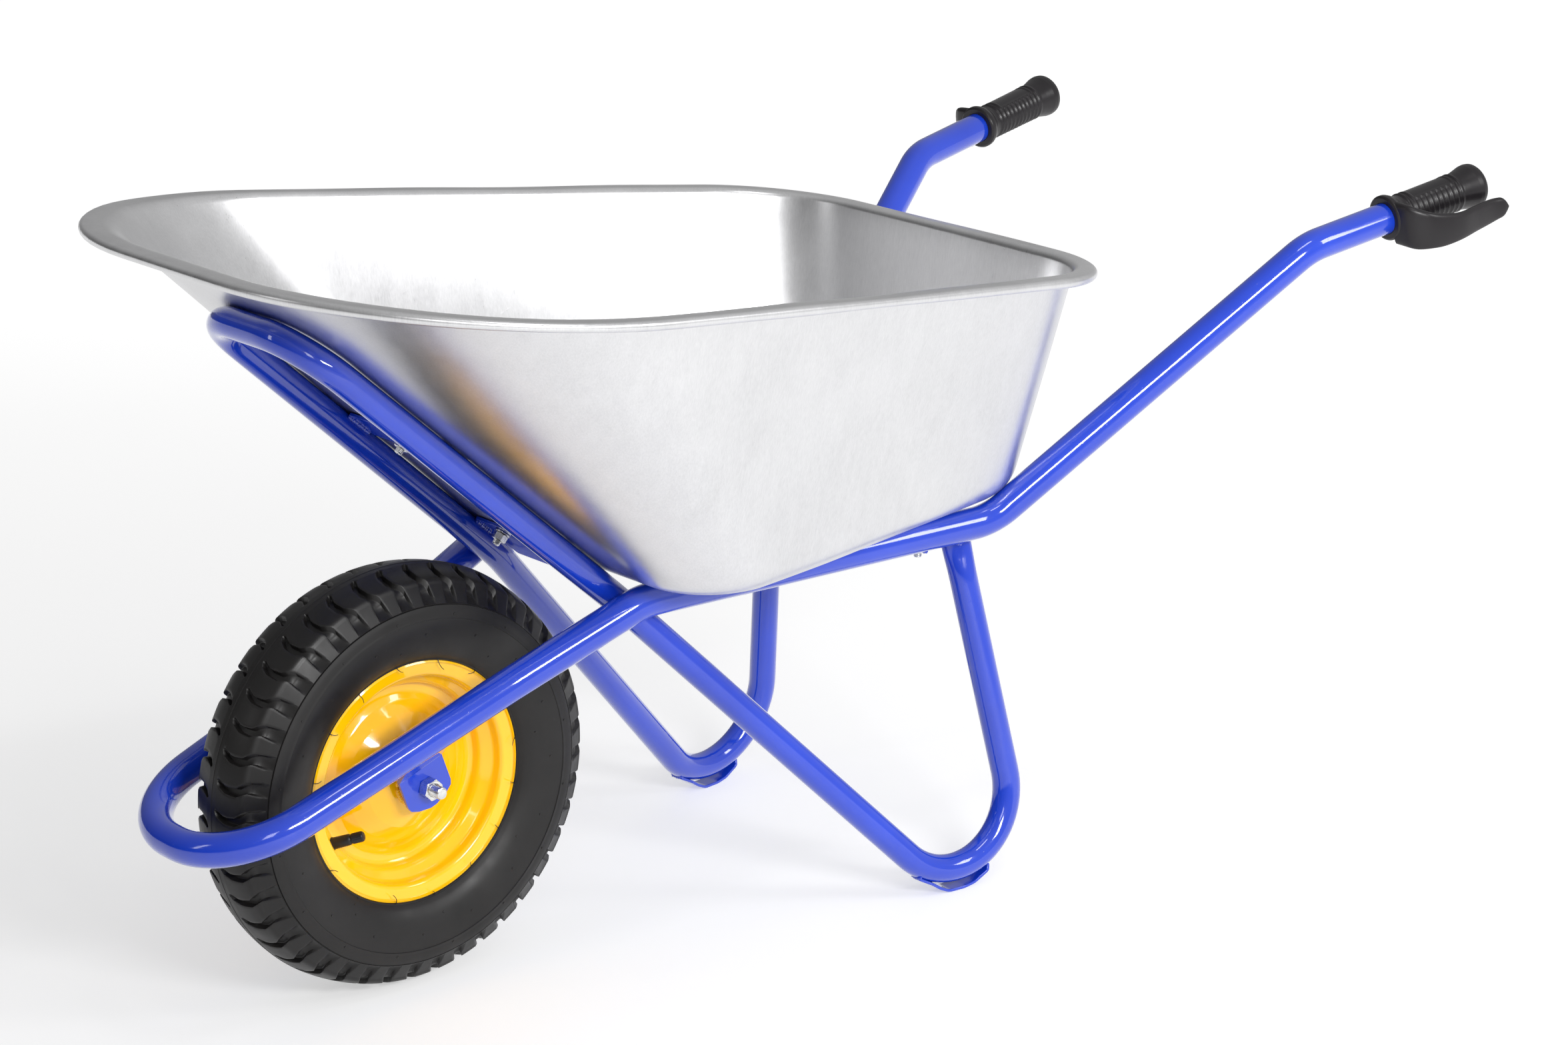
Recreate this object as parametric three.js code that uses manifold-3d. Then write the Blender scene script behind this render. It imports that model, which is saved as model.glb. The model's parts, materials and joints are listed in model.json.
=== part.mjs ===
// A single-wheel wheelbarrow: bent tube frame, deep drawn pan, pressed disc wheel on two ball bearings.
// Millimetres. +X is the way it is pushed, +Y its left side, +Z up, and the ground is z = 0.
// Inside the group x = 0 is the wheel axle; the group is shifted so that the bounding box is centred on x = 0.
import * as THREE from "three";
import { mergeVertices } from "three/addons/utils/BufferGeometryUtils.js";
import Module from "manifold-3d";

const wasm = await Module();
wasm.setup();

// ---------------------------------------------------------------- driving dimensions
const GAP = 0.3;
const AXLE_SHIFT = 442.88;

const WHEEL_RADIUS = 200;
const AXLE_RADIUS = 6;
const AXLE_HEIGHT = WHEEL_RADIUS;
const HUB_HALF_LENGTH = 40;
const BRACKET_INNER_Y = 48.3;
const BRACKET_THICKNESS = 3.5;
const ARM_SLOPE = THREE.MathUtils.degToRad(19.6);

const FRAME_RADIUS = 16;
const LEG_RADIUS = 14;
const TUBE_WALL = 1.6;

const HANDLE_END_LENGTH = 215;
const HANDLE_BEND = new THREE.Vector3(-914.4, 281, 602.5);
const HANDLE_DIRECTION = new THREE.Vector3(-0.97949, 0.11859, 0.16291);
const REAR_BEND = new THREE.Vector3(-597, 167.3, 361);
const FRONT_BEND = new THREE.Vector3(-197, 123, 354);
const ARM_BEND = new THREE.Vector3(-59, 102, 299);
const NOSE_CORNER = new THREE.Vector3(238, 84, 193);

const LEG_TOP = new THREE.Vector3(-576, 135, 352);
const FOOT_CORNER = new THREE.Vector3(-632, 226, -116);
const FOOT_BEND_RADIUS = 73;
const CROSSING = new THREE.Vector3(-192.2, 90.2, 348.6);
const HOOP_CORNER = new THREE.Vector3(137.8, 77.8, 644.7);

const SHEET = 1.2;
const FLOOR_SLOPE = -0.0175;
const FLOOR_HEIGHT_AT_AXLE = 367.9;
const RIM_SLOPE = 0.117;
const RIM_HEIGHT_AT_AXLE = 685.6;
const CURL_RADIUS = 4;
const WALL_TO_HOOP = LEG_RADIUS + 0.4 + SHEET / 2;

const GRIP_START = 100;
const GRIP_LENGTH = 125;

const TRAY_BOLT_RADIUS = 4;
const HOLE_RADIUS = 4.4;

// ---------------------------------------------------------------- finishes
const finish = (color, roughness, metalness) =>
  new THREE.MeshStandardMaterial({ color, roughness, metalness });
const BLUE_ENAMEL = finish(0x1b33c4, 0.25, 0.1);
const ZINC_SHEET = finish(0xc9cacc, 0.42, 0.9);
const ZINC_BOLT = finish(0xd4d4d0, 0.3, 1.0);
const YELLOW_ENAMEL = finish(0xf7a800, 0.22, 0.1);
const BLACK_RUBBER = finish(0x17181a, 0.6, 0.0);
const BLACK_PLASTIC = finish(0x1c1a1c, 0.42, 0.0);
const BEARING_STEEL = finish(0xb8bcc0, 0.2, 1.0);

// ---------------------------------------------------------------- solids
function toSolid(geometry) {
  const bare = geometry.clone();
  bare.deleteAttribute("normal");
  bare.deleteAttribute("uv");
  const merged = mergeVertices(bare, 1e-3);
  const index = merged.index.array;
  const triVerts = [];
  for (let i = 0; i < index.length; i += 3) {
    const [a, b, c] = index.slice(i, i + 3);
    if (a !== b && b !== c && c !== a) triVerts.push(a, b, c);
  }
  const vertProperties = new Float32Array(merged.attributes.position.array);
  return new wasm.Manifold(new wasm.Mesh({ numProp: 3, vertProperties, triVerts: new Uint32Array(triVerts) }));
}

function fromSolid(solid) {
  const mesh = solid.getMesh();
  const geometry = new THREE.BufferGeometry();
  geometry.setAttribute("position", new THREE.BufferAttribute(mesh.vertProperties, 3));
  geometry.setIndex(new THREE.BufferAttribute(mesh.triVerts, 1));
  const faceted = geometry.toNonIndexed();
  faceted.computeVertexNormals();
  return faceted;
}

function join(...geometries) {
  const solids = geometries.map(toSolid);
  return fromSolid(solids.reduce((whole, piece) => whole.add(piece)));
}

function common(a, b) {
  return fromSolid(toSolid(a).intersect(toSolid(b)));
}

function cut(geometry, ...tools) {
  const solids = tools.map(toSolid);
  return fromSolid(solids.reduce((left, tool) => left.subtract(tool), toSolid(geometry)));
}

function named(name, geometry, material) {
  const mesh = new THREE.Mesh(geometry, material);
  mesh.name = name;
  return mesh;
}

// A round bar or drill along local Z, from low to high.
function bar(radius, low, high, sides = 20) {
  const shape = new THREE.CylinderGeometry(radius, radius, high - low, sides);
  shape.rotateX(Math.PI / 2);
  return shape.translate(0, 0, (low + high) / 2);
}

// A body of revolution about Y. Each point is [radius, y], and the profile closes on itself or on the axis.
function turned(points, segments) {
  return new THREE.LatheGeometry(points.map(([r, y]) => new THREE.Vector2(r, y)), segments);
}

// A ring about Y between two radii and two heights.
function ring(innerRadius, outerRadius, low, high, segments = 32) {
  const corners = [
    [innerRadius, low],
    [outerRadius, low],
    [outerRadius, high],
    [innerRadius, high],
    [innerRadius, low],
  ];
  return turned(corners, segments);
}

const mirrorY = (point) => new THREE.Vector3(point.x, -point.y, point.z);

// ---------------------------------------------------------------- bent tubes
// Straight runs joined by tangent arcs; one step for each run and a few for each arc.
class BentPath extends THREE.Curve {
  constructor(corners, radii, stepAngle = 0.27) {
    super();
    this.points = [corners[0].clone()];
    this.tangents = [corners[1].clone().sub(corners[0]).normalize()];
    for (let i = 1; i < corners.length - 1; i++) {
      this.addBend(corners[i - 1], corners[i], corners[i + 1], radii[i - 1], stepAngle);
    }
    this.points.push(corners.at(-1).clone());
    this.tangents.push(corners.at(-1).clone().sub(corners.at(-2)).normalize());
  }

  addBend(before, corner, after, radius, stepAngle) {
    const into = corner.clone().sub(before).normalize();
    const out = after.clone().sub(corner).normalize();
    const turn = into.angleTo(out);
    const setback = radius * Math.tan(turn / 2);
    const start = corner.clone().addScaledVector(into, -setback);
    const inward = out.clone().addScaledVector(into, -out.dot(into)).normalize();
    const centre = start.clone().addScaledVector(inward, radius);
    const steps = Math.max(2, Math.ceil(turn / stepAngle));
    for (let k = 0; k <= steps; k++) {
      const angle = (turn * k) / steps;
      const point = centre.clone().addScaledVector(inward, -radius * Math.cos(angle));
      this.points.push(point.addScaledVector(into, radius * Math.sin(angle)));
      const tangent = into.clone().multiplyScalar(Math.cos(angle));
      this.tangents.push(tangent.addScaledVector(inward, Math.sin(angle)));
    }
  }

  get runs() {
    return this.points.length - 1;
  }

  getPoint(t, target = new THREE.Vector3()) {
    const place = Math.min(t * this.runs, this.runs - 1e-9);
    const index = Math.floor(place);
    return target.lerpVectors(this.points[index], this.points[index + 1], place - index);
  }

  getTangent(t, target = new THREE.Vector3()) {
    return target.copy(this.tangents[Math.round(t * this.runs)]);
  }

  getUtoTmapping(u) {
    return u;
  }
}

function polygon(radius, sides) {
  return Array.from({ length: sides }, (_, k) => {
    const angle = (2 * Math.PI * k) / sides;
    return new THREE.Vector2(radius * Math.cos(angle), radius * Math.sin(angle));
  });
}

function tube(corners, radii, radius) {
  const section = new THREE.Shape(polygon(radius, 12));
  section.holes.push(new THREE.Path(polygon(radius - TUBE_WALL, 8)));
  const path = new BentPath(corners, radii);
  return new THREE.ExtrudeGeometry(section, { steps: path.runs, extrudePath: path });
}

function mainTube() {
  const gripEnd = HANDLE_BEND.clone().addScaledVector(HANDLE_DIRECTION, HANDLE_END_LENGTH);
  const left = [gripEnd, HANDLE_BEND, REAR_BEND, FRONT_BEND, ARM_BEND, NOSE_CORNER];
  const corners = [...left, ...left.map(mirrorY).reverse()];
  const radii = [62, 66, 75, 150, 83.5, 83.5, 150, 75, 66, 62];
  return named("main_tube", tube(corners, radii, FRAME_RADIUS), BLUE_ENAMEL);
}

function legHoopTube() {
  const left = [LEG_TOP, FOOT_CORNER, CROSSING, HOOP_CORNER];
  const corners = [...left, ...left.map(mirrorY).reverse()];
  const radii = [FOOT_BEND_RADIUS, 120, 57, 57, 120, FOOT_BEND_RADIUS];
  return named("leg_hoop_tube", tube(corners, radii, LEG_RADIUS), BLUE_ENAMEL);
}

// ---------------------------------------------------------------- foot skids
// A bent strip under the foot bend, flat where it stands, and level across its width.
const SKID_LOW_POINT = new THREE.Vector3(-532.5, 188.3, 0);
const SKID_HEADING = THREE.MathUtils.degToRad(-6.8);
const SKID_WIDTH = 19;

const SKID_UNDERSIDE = [
  [-38.6, 13.4],
  [-35, 8.4],
  [-21, 2.3],
  [-8, 0],
  [14, 0],
  [26, 6.6],
  [46.5, 17.6],
];
const SKID_TOP = [
  [45.1, 20.2],
  [24.8, 9.4],
  [13.2, 3],
  [-7.7, 3],
  [-20, 5.2],
  [-33.4, 10.9],
  [-36.4, 15],
];

function footSkid() {
  const outline = new THREE.Shape([...SKID_UNDERSIDE, ...SKID_TOP].map(([x, y]) => new THREE.Vector2(x, y)));
  const strip = new THREE.ExtrudeGeometry(outline, { depth: SKID_WIDTH, bevelEnabled: false });
  strip.translate(0, 0, -SKID_WIDTH / 2);
  strip.rotateX(Math.PI / 2);
  const mesh = named("foot_skid_left", strip, BLUE_ENAMEL);
  mesh.position.copy(SKID_LOW_POINT);
  mesh.rotation.z = SKID_HEADING;
  return mesh;
}

// ---------------------------------------------------------------- pan
const hoopRise = Math.atan2(HOOP_CORNER.z - CROSSING.z, HOOP_CORNER.x - CROSSING.x);
const floorHeight = (x) => FLOOR_HEIGHT_AT_AXLE + FLOOR_SLOPE * x;
const rimHeight = (x) => RIM_HEIGHT_AT_AXLE + RIM_SLOPE * x;
const flangeHeight = (x) => rimHeight(x) + CURL_RADIUS;

// The x where the sloping front wall, lying on the hoop, meets a plane of height h0 + slope * x.
function frontWallAt(h0, slope) {
  const wallX = CROSSING.x - WALL_TO_HOOP * Math.sin(hoopRise);
  const wallZ = CROSSING.z + WALL_TO_HOOP * Math.cos(hoopRise);
  return (h0 - wallZ + wallX * Math.tan(hoopRise)) / (Math.tan(hoopRise) - slope);
}

const FLOOR_EDGE = {
  front: frontWallAt(FLOOR_HEIGHT_AT_AXLE, FLOOR_SLOPE),
  rear: -652,
  frontHalf: 232,
  rearHalf: 166,
  frontRadius: 68,
  rearRadius: 70,
  frontBow: 0,
  sideBow: 2,
  rearBow: 3,
};
const WALL_TOP_BOW = 8;
const WALL_TOP = {
  front: frontWallAt(RIM_HEIGHT_AT_AXLE + CURL_RADIUS, RIM_SLOPE) - WALL_TOP_BOW,
  rear: -684,
  frontHalf: 333,
  rearHalf: 237,
  frontRadius: 236,
  rearRadius: 108,
  frontBow: WALL_TOP_BOW,
  sideBow: 5,
  rearBow: 5,
};
const CURL_CENTRE = {
  front: 205.4,
  rear: -701.7,
  frontHalf: 351,
  rearHalf: 253.7,
  frontRadius: 249,
  rearRadius: 125,
  frontBow: 10.6,
  sideBow: 5,
  rearBow: 5,
};
const FRONT_SETBACK = 18;
const SIDE_SETBACK = 26;
const FLOOR_FLAT = {
  ...FLOOR_EDGE,
  front: FLOOR_EDGE.front - FRONT_SETBACK,
  rear: FLOOR_EDGE.rear + SIDE_SETBACK,
  frontHalf: FLOOR_EDGE.frontHalf - SIDE_SETBACK,
  rearHalf: FLOOR_EDGE.rearHalf - SIDE_SETBACK,
  frontRadius: FLOOR_EDGE.frontRadius - SIDE_SETBACK / 2,
  rearRadius: FLOOR_EDGE.rearRadius - SIDE_SETBACK / 2,
};

// Corner arc points between two edges that meet at `corner`.
function arcAt(before, corner, after, radius, steps) {
  const into = corner.clone().sub(before).normalize();
  const out = after.clone().sub(corner).normalize();
  const turn = Math.acos(into.dot(out));
  const start = corner.clone().addScaledVector(into, -radius * Math.tan(turn / 2));
  const inward = out.clone().addScaledVector(into, -out.dot(into)).normalize();
  return Array.from({ length: steps + 1 }, (_, k) => {
    const angle = (turn * k) / steps;
    const point = start.clone().addScaledVector(inward, radius * (1 - Math.cos(angle)));
    return point.addScaledVector(into, radius * Math.sin(angle));
  });
}

// The closed outline of the pan at one level: a rounded trapezium whose edges bow outwards a little.
function panOutline(edge) {
  const frontMid = new THREE.Vector2(edge.front, 0);
  const frontCorner = new THREE.Vector2(edge.front, edge.frontHalf);
  const rearCorner = new THREE.Vector2(edge.rear, edge.rearHalf);
  const rearMid = new THREE.Vector2(edge.rear, 0);
  const frontArc = arcAt(frontMid, frontCorner, rearCorner, edge.frontRadius, 7);
  const rearArc = arcAt(frontCorner, rearCorner, rearMid, edge.rearRadius, 6);
  const between = (a, b, t) => a.clone().lerp(b, t);
  const half = [
    frontMid,
    between(frontMid, frontArc[0], 0.5),
    ...frontArc,
    between(frontArc.at(-1), rearArc[0], 1 / 3),
    between(frontArc.at(-1), rearArc[0], 2 / 3),
    ...rearArc,
    between(rearArc.at(-1), rearMid, 0.5),
    rearMid,
  ];
  const middle = (edge.front + edge.rear) / 2;
  const reach = (edge.front - edge.rear) / 2;
  const bowed = half.map((point) => {
    const along = (point.x - middle) / reach;
    const halfWidth = THREE.MathUtils.lerp(edge.rearHalf, edge.frontHalf, (along + 1) / 2);
    const endBow = along > 0 ? edge.frontBow : -edge.rearBow;
    const x = point.x + endBow * Math.max(0, 1 - (point.y / halfWidth) ** 2);
    const y = point.y + Math.sign(point.y) * edge.sideBow * Math.max(0, 1 - along ** 2);
    return new THREE.Vector2(x, y);
  });
  const right = bowed.slice(1, -1).reverse().map((point) => new THREE.Vector2(point.x, -point.y));
  return [...bowed, ...right];
}

const lift = (outline, height) => outline.map((p) => new THREE.Vector3(p.x, p.y, height(p.x)));
const blend = (a, b, t) => a.map((point, i) => point.clone().lerp(b[i], t));
const bezier = (a, b, c, t) => blend(blend(a, b, t), blend(b, c, t), t);

// Rings of the sheet's middle surface, from the flat of the floor out to the end of the rolled edge.
function panRings() {
  const flat = lift(panOutline(FLOOR_FLAT), floorHeight);
  const foot = lift(panOutline(FLOOR_EDGE), floorHeight);
  const top = lift(panOutline(WALL_TOP), flangeHeight);
  const curl = lift(panOutline(CURL_CENTRE), rimHeight);
  const up = new THREE.Vector3(-RIM_SLOPE, 0, 1).normalize();
  const curlPoint = (i, angle) => {
    const before = curl.at(i - 1);
    const after = curl[(i + 1) % curl.length];
    const out = after.clone().sub(before).cross(up).normalize();
    const point = curl[i].clone().addScaledVector(up, CURL_RADIUS * Math.cos(angle));
    return point.addScaledVector(out, CURL_RADIUS * Math.sin(angle));
  };
  const curlRing = (angle) => curl.map((_, i) => curlPoint(i, angle));
  const flangeEnd = curlRing(0);
  const wallStart = foot.map((point, i) => {
    const upWall = top[i].clone().sub(point).normalize();
    return point.clone().addScaledVector(upWall, point.distanceTo(flat[i]));
  });
  const wallEnd = blend(foot, top, 0.975);
  const flangeStart = blend(top, flangeEnd, 0.35);
  const curlAngles = [0.9, 1.8, 2.7, 3.6, 4.5];
  return [
    flat,
    bezier(flat, foot, wallStart, 0.35),
    bezier(flat, foot, wallStart, 0.68),
    wallStart,
    blend(foot, top, 0.5),
    wallEnd,
    bezier(wallEnd, top, flangeStart, 0.5),
    flangeStart,
    flangeEnd,
    ...curlAngles.map(curlRing),
  ];
}

// Unit normals of a grid of rings, pointing into the pan.
function ringNormals(rings) {
  const count = rings[0].length;
  return rings.map((here, i) => {
    const below = rings[Math.max(i - 1, 0)];
    const above = rings[Math.min(i + 1, rings.length - 1)];
    return here.map((_, j) => {
      const along = here[(j + 1) % count].clone().sub(here[(j + count - 1) % count]);
      const across = above[j].clone().sub(below[j]);
      return across.cross(along).normalize();
    });
  });
}

// A closed shell between two grids of rings, with flat caps over both first rings and a strip round the last.
function shellBetween(outer, inner) {
  const count = outer[0].length;
  const grid = [...outer, ...inner.toReversed()];
  const positions = grid.flat().flatMap((point) => point.toArray());
  const centreOf = (points) =>
    points.reduce((sum, point) => sum.add(point), new THREE.Vector3()).divideScalar(points.length);
  const outerCentre = grid.flat().length;
  positions.push(...centreOf(outer[0]).toArray(), ...centreOf(inner[0]).toArray());
  const faces = [];
  for (let j = 0; j < count; j++) {
    const next = (j + 1) % count;
    for (let i = 0; i < grid.length - 1; i++) {
      const a = i * count + j;
      const b = i * count + next;
      faces.push(a, b, a + count, b, b + count, a + count);
    }
    const last = (grid.length - 1) * count;
    faces.push(outerCentre, next, j, outerCentre + 1, last + j, last + next);
  }
  const geometry = new THREE.BufferGeometry();
  geometry.setAttribute("position", new THREE.Float32BufferAttribute(positions, 3));
  geometry.setIndex(faces);
  return geometry;
}

function pan(drills) {
  const middle = panRings();
  const normals = ringNormals(middle);
  const floorNormal = new THREE.Vector3(-FLOOR_SLOPE, 0, 1).normalize();
  normals[0].forEach((normal) => normal.copy(floorNormal));
  const offset = (side) =>
    middle.map((points, i) =>
      points.map((point, j) => point.clone().addScaledVector(normals[i][j], (side * SHEET) / 2)),
    );
  const shell = shellBetween(offset(-1), offset(1));
  return named("tray", cut(shell, ...drills), ZINC_SHEET);
}

// ---------------------------------------------------------------- cross plates and tray fasteners
// Frames whose local Z points into the pan, square to the wall or the floor that they hold.
function hoopFrame(alongHoop, y) {
  const frame = new THREE.Group();
  const x = CROSSING.x + alongHoop * Math.cos(hoopRise);
  frame.position.set(x, y, CROSSING.z + alongHoop * Math.sin(hoopRise));
  frame.rotation.y = -hoopRise;
  return frame;
}

function floorFrame(x, y) {
  const frame = new THREE.Group();
  frame.position.set(x, y, floorHeight(x) - SHEET / 2);
  frame.rotation.y = Math.atan(-FLOOR_SLOPE);
  return frame;
}

const FRONT_PLATE = { along: 25, width: 68, halfLength: 76.5, top: 13, thickness: 3, boltAlong: 46, boltY: 45 };
const HOOP_PLATE = { along: 235, width: 36, halfLength: 71, top: 13, thickness: 3 };
const REAR_STRAP = { x: -536, width: 40, halfLength: 150, thickness: 4, boltY: 128 };
const STRAP_TOP = -(2 * FRAME_RADIUS + 0.4 + 0.4);
const HEAD_BASE_ON_WALL = WALL_TO_HOOP + SHEET / 2 + GAP;
const HEAD_BASE_ON_FLOOR = SHEET + GAP;

function plate(name, width, halfLength, top, thickness, holes) {
  const slab = new THREE.BoxGeometry(width, 2 * halfLength, thickness);
  slab.translate(0, 0, top - thickness / 2);
  const drills = holes.map(([x, y]) => bar(HOLE_RADIUS, top - thickness - 1, top + 1).translate(x, y, 0));
  return named(name, cut(slab, ...drills), BLUE_ENAMEL);
}

function frontPlate() {
  const { along, width, halfLength, top, thickness, boltAlong, boltY } = FRONT_PLATE;
  const holes = [
    [boltAlong - along, boltY],
    [boltAlong - along, -boltY],
  ];
  const frame = hoopFrame(along, 0);
  frame.add(plate("front_cross_plate", width, halfLength, top, thickness, holes));
  return frame;
}

function hoopPlate() {
  const { along, width, halfLength, top, thickness } = HOOP_PLATE;
  const frame = hoopFrame(along, 0);
  frame.add(plate("hoop_cross_plate", width, halfLength, top, thickness, [[0, 0]]));
  return frame;
}

function rearStrap() {
  const { x, width, halfLength, thickness, boltY } = REAR_STRAP;
  const holes = [
    [0, boltY],
    [0, -boltY],
  ];
  const frame = floorFrame(x, 0);
  frame.add(plate("rear_cross_strap", width, halfLength, STRAP_TOP, thickness, holes));
  return frame;
}

// Where the five tray bolts stand: their frame, the height of the head's base, and of the plate's underside.
const FRONT_PLATE_BOTTOM = FRONT_PLATE.top - FRONT_PLATE.thickness;
const HOOP_PLATE_BOTTOM = HOOP_PLATE.top - HOOP_PLATE.thickness;
const STRAP_BOTTOM = STRAP_TOP - REAR_STRAP.thickness;
const boltPlaces = () => [
  ["front_left", hoopFrame(FRONT_PLATE.boltAlong, FRONT_PLATE.boltY), HEAD_BASE_ON_WALL, FRONT_PLATE_BOTTOM],
  ["front_right", hoopFrame(FRONT_PLATE.boltAlong, -FRONT_PLATE.boltY), HEAD_BASE_ON_WALL, FRONT_PLATE_BOTTOM],
  ["hoop", hoopFrame(HOOP_PLATE.along, 0), HEAD_BASE_ON_WALL, HOOP_PLATE_BOTTOM],
  ["rear_left", floorFrame(REAR_STRAP.x, REAR_STRAP.boltY), HEAD_BASE_ON_FLOOR, STRAP_BOTTOM],
  ["rear_right", floorFrame(REAR_STRAP.x, -REAR_STRAP.boltY), HEAD_BASE_ON_FLOOR, STRAP_BOTTOM],
];

const NUT_HEIGHT = 6.5;
const WASHER_THICKNESS = 1.6;
const BOLT_PROUD = 5;

function trayBolt(headBase, plateBottom) {
  const washerLow = plateBottom - GAP - WASHER_THICKNESS;
  const end = washerLow - GAP - NUT_HEIGHT - BOLT_PROUD;
  const profile = [
    [0, end],
    [TRAY_BOLT_RADIUS - 1, end],
    [TRAY_BOLT_RADIUS, end + 1],
    [TRAY_BOLT_RADIUS, headBase],
    [9.5, headBase],
    [9.2, headBase + 1.4],
    [6.5, headBase + 3.6],
    [0, headBase + 4.6],
  ];
  return turned(profile, 12).rotateX(Math.PI / 2);
}

function hexNut(acrossCorners, height, boreRadius) {
  const prism = new THREE.CylinderGeometry(acrossCorners / 2, acrossCorners / 2, height, 6);
  prism.rotateX(Math.PI / 2);
  return cut(prism, bar(boreRadius, -height, height, 12));
}

function trayFasteners() {
  return boltPlaces().map(([place, frame, headBase, plateBottom]) => {
    const washerLow = plateBottom - GAP - WASHER_THICKNESS;
    const washer = ring(HOLE_RADIUS, 8, washerLow, washerLow + WASHER_THICKNESS, 16).rotateX(Math.PI / 2);
    const nut = hexNut(15, NUT_HEIGHT, HOLE_RADIUS).translate(0, 0, washerLow - GAP - NUT_HEIGHT / 2);
    frame.add(named("tray_bolt_" + place, trayBolt(headBase, plateBottom), ZINC_BOLT));
    frame.add(named("tray_washer_" + place, washer, ZINC_BOLT));
    frame.add(named("tray_nut_" + place, nut, ZINC_BOLT));
    return frame;
  });
}

function trayDrills() {
  return boltPlaces().map(([, frame, headBase]) => {
    frame.updateMatrixWorld(true);
    return bar(HOLE_RADIUS, headBase - 6, headBase + 2, 12).applyMatrix4(frame.matrixWorld);
  });
}

// ---------------------------------------------------------------- axle brackets
// A plate beside the hub whose upper part bends out to the underside of the arm. Local X runs down the arm.
const BRACKET_HALF_WIDTH = 25.5;
const BRACKET_FOLD_HEIGHT = 22;
const BRACKET_LIP_LENGTH = 54;
const BRACKET_LIP_ANGLE = THREE.MathUtils.degToRad(47);
const BRACKET_LIP_TAIL = 57;

function bracketFace() {
  const outline = new THREE.Shape();
  outline.moveTo(-BRACKET_HALF_WIDTH, BRACKET_FOLD_HEIGHT);
  outline.lineTo(-BRACKET_HALF_WIDTH, -11);
  outline.quadraticCurveTo(0, -31, BRACKET_HALF_WIDTH, -13);
  outline.lineTo(BRACKET_HALF_WIDTH, BRACKET_FOLD_HEIGHT);
  return new THREE.ExtrudeGeometry(outline, { depth: BRACKET_THICKNESS, bevelEnabled: false, curveSegments: 8 });
}

function bracketLip() {
  const outline = new THREE.Shape();
  outline.moveTo(-BRACKET_HALF_WIDTH, 0);
  outline.lineTo(BRACKET_HALF_WIDTH, 0);
  outline.lineTo(BRACKET_HALF_WIDTH, BRACKET_LIP_LENGTH);
  outline.lineTo(-BRACKET_LIP_TAIL, BRACKET_LIP_LENGTH);
  outline.lineTo(-BRACKET_LIP_TAIL + 4, BRACKET_LIP_LENGTH - 13);
  outline.lineTo(-BRACKET_HALF_WIDTH, BRACKET_LIP_LENGTH - 21);
  const lip = new THREE.ExtrudeGeometry(outline, { depth: BRACKET_THICKNESS, bevelEnabled: false });
  lip.translate(0, 0, -BRACKET_THICKNESS);
  lip.rotateX(-BRACKET_LIP_ANGLE);
  return lip.translate(0, BRACKET_FOLD_HEIGHT, BRACKET_THICKNESS);
}

function axleBracket() {
  const drill = bar(AXLE_RADIUS + GAP, -2, BRACKET_THICKNESS + 2, 24);
  const bracket = cut(join(bracketFace(), bracketLip()), drill);
  bracket.rotateX(Math.PI / 2);
  const mesh = named("axle_bracket_left", bracket, BLUE_ENAMEL);
  mesh.position.set(0, BRACKET_INNER_Y + BRACKET_THICKNESS, AXLE_HEIGHT);
  mesh.rotation.y = ARM_SLOPE;
  return mesh;
}

// ---------------------------------------------------------------- grips
// Local Y runs back along the handle, X points away from the barrow and Z up; y = 0 at the handle bend.
const GRIP_END = GRIP_START + GRIP_LENGTH;
const GRIP_BORE = FRAME_RADIUS + GAP;
const GUARD_OUTSIDE = [
  [16, 101],
  [31, 105],
  [41, 115],
  [46.5, 131],
  [47, 160],
  [41, 190],
  [37, 213],
  [38.6, 232],
];
const GUARD_INSIDE = [
  [33, 232],
  [31.4, 214],
  [35.5, 188],
  [41.5, 159],
  [41, 133],
  [36.5, 120],
  [28, 111.5],
  [16, 109],
];
const GUARD_SIDE = [
  [99, -18],
  [111, -28.8],
  [141, -31],
  [211, -30],
  [224, -27],
  [230.5, -20],
  [229, -12],
  [221, -7.8],
  [188, -4.5],
  [148, 0],
  [130, 5],
  [110, 15.5],
  [99, 19],
];

function gripBody() {
  const profile = [
    [GRIP_BORE, GRIP_START],
    [22.2, GRIP_START],
    [22.2, GRIP_START + 8],
    [18.5, GRIP_START + 13],
    [18.5, GRIP_END - 30],
    [22.2, GRIP_END - 15],
    [22.2, GRIP_END - 6],
    [15, GRIP_END],
    [0, GRIP_END],
    [0, HANDLE_END_LENGTH + 1],
    [GRIP_BORE, HANDLE_END_LENGTH + 1],
    [GRIP_BORE, GRIP_START],
  ];
  return turned(profile, 20);
}

function gripGuard() {
  const toVector = ([x, y]) => new THREE.Vector2(x, y);
  const plan = new THREE.Shape([...GUARD_OUTSIDE, ...GUARD_INSIDE].map(toVector));
  const band = new THREE.ExtrudeGeometry(plan, { depth: 100, bevelEnabled: false }).translate(0, 0, -50);
  const side = new THREE.Shape(GUARD_SIDE.map(toVector));
  const window = new THREE.ExtrudeGeometry(side, { depth: 60, bevelEnabled: false });
  window.applyMatrix4(new THREE.Matrix4().set(0, 0, 1, 0, 1, 0, 0, 0, 0, 1, 0, 0, 0, 0, 0, 1));
  return common(band, window);
}

function grip() {
  const mesh = named("grip_left", join(gripBody(), gripGuard()), BLACK_PLASTIC);
  const outward = HANDLE_DIRECTION.clone().cross(new THREE.Vector3(0, 0, 1)).normalize();
  const up = outward.clone().cross(HANDLE_DIRECTION);
  mesh.applyMatrix4(new THREE.Matrix4().makeBasis(outward, HANDLE_DIRECTION, up).setPosition(HANDLE_BEND));
  return mesh;
}

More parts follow.
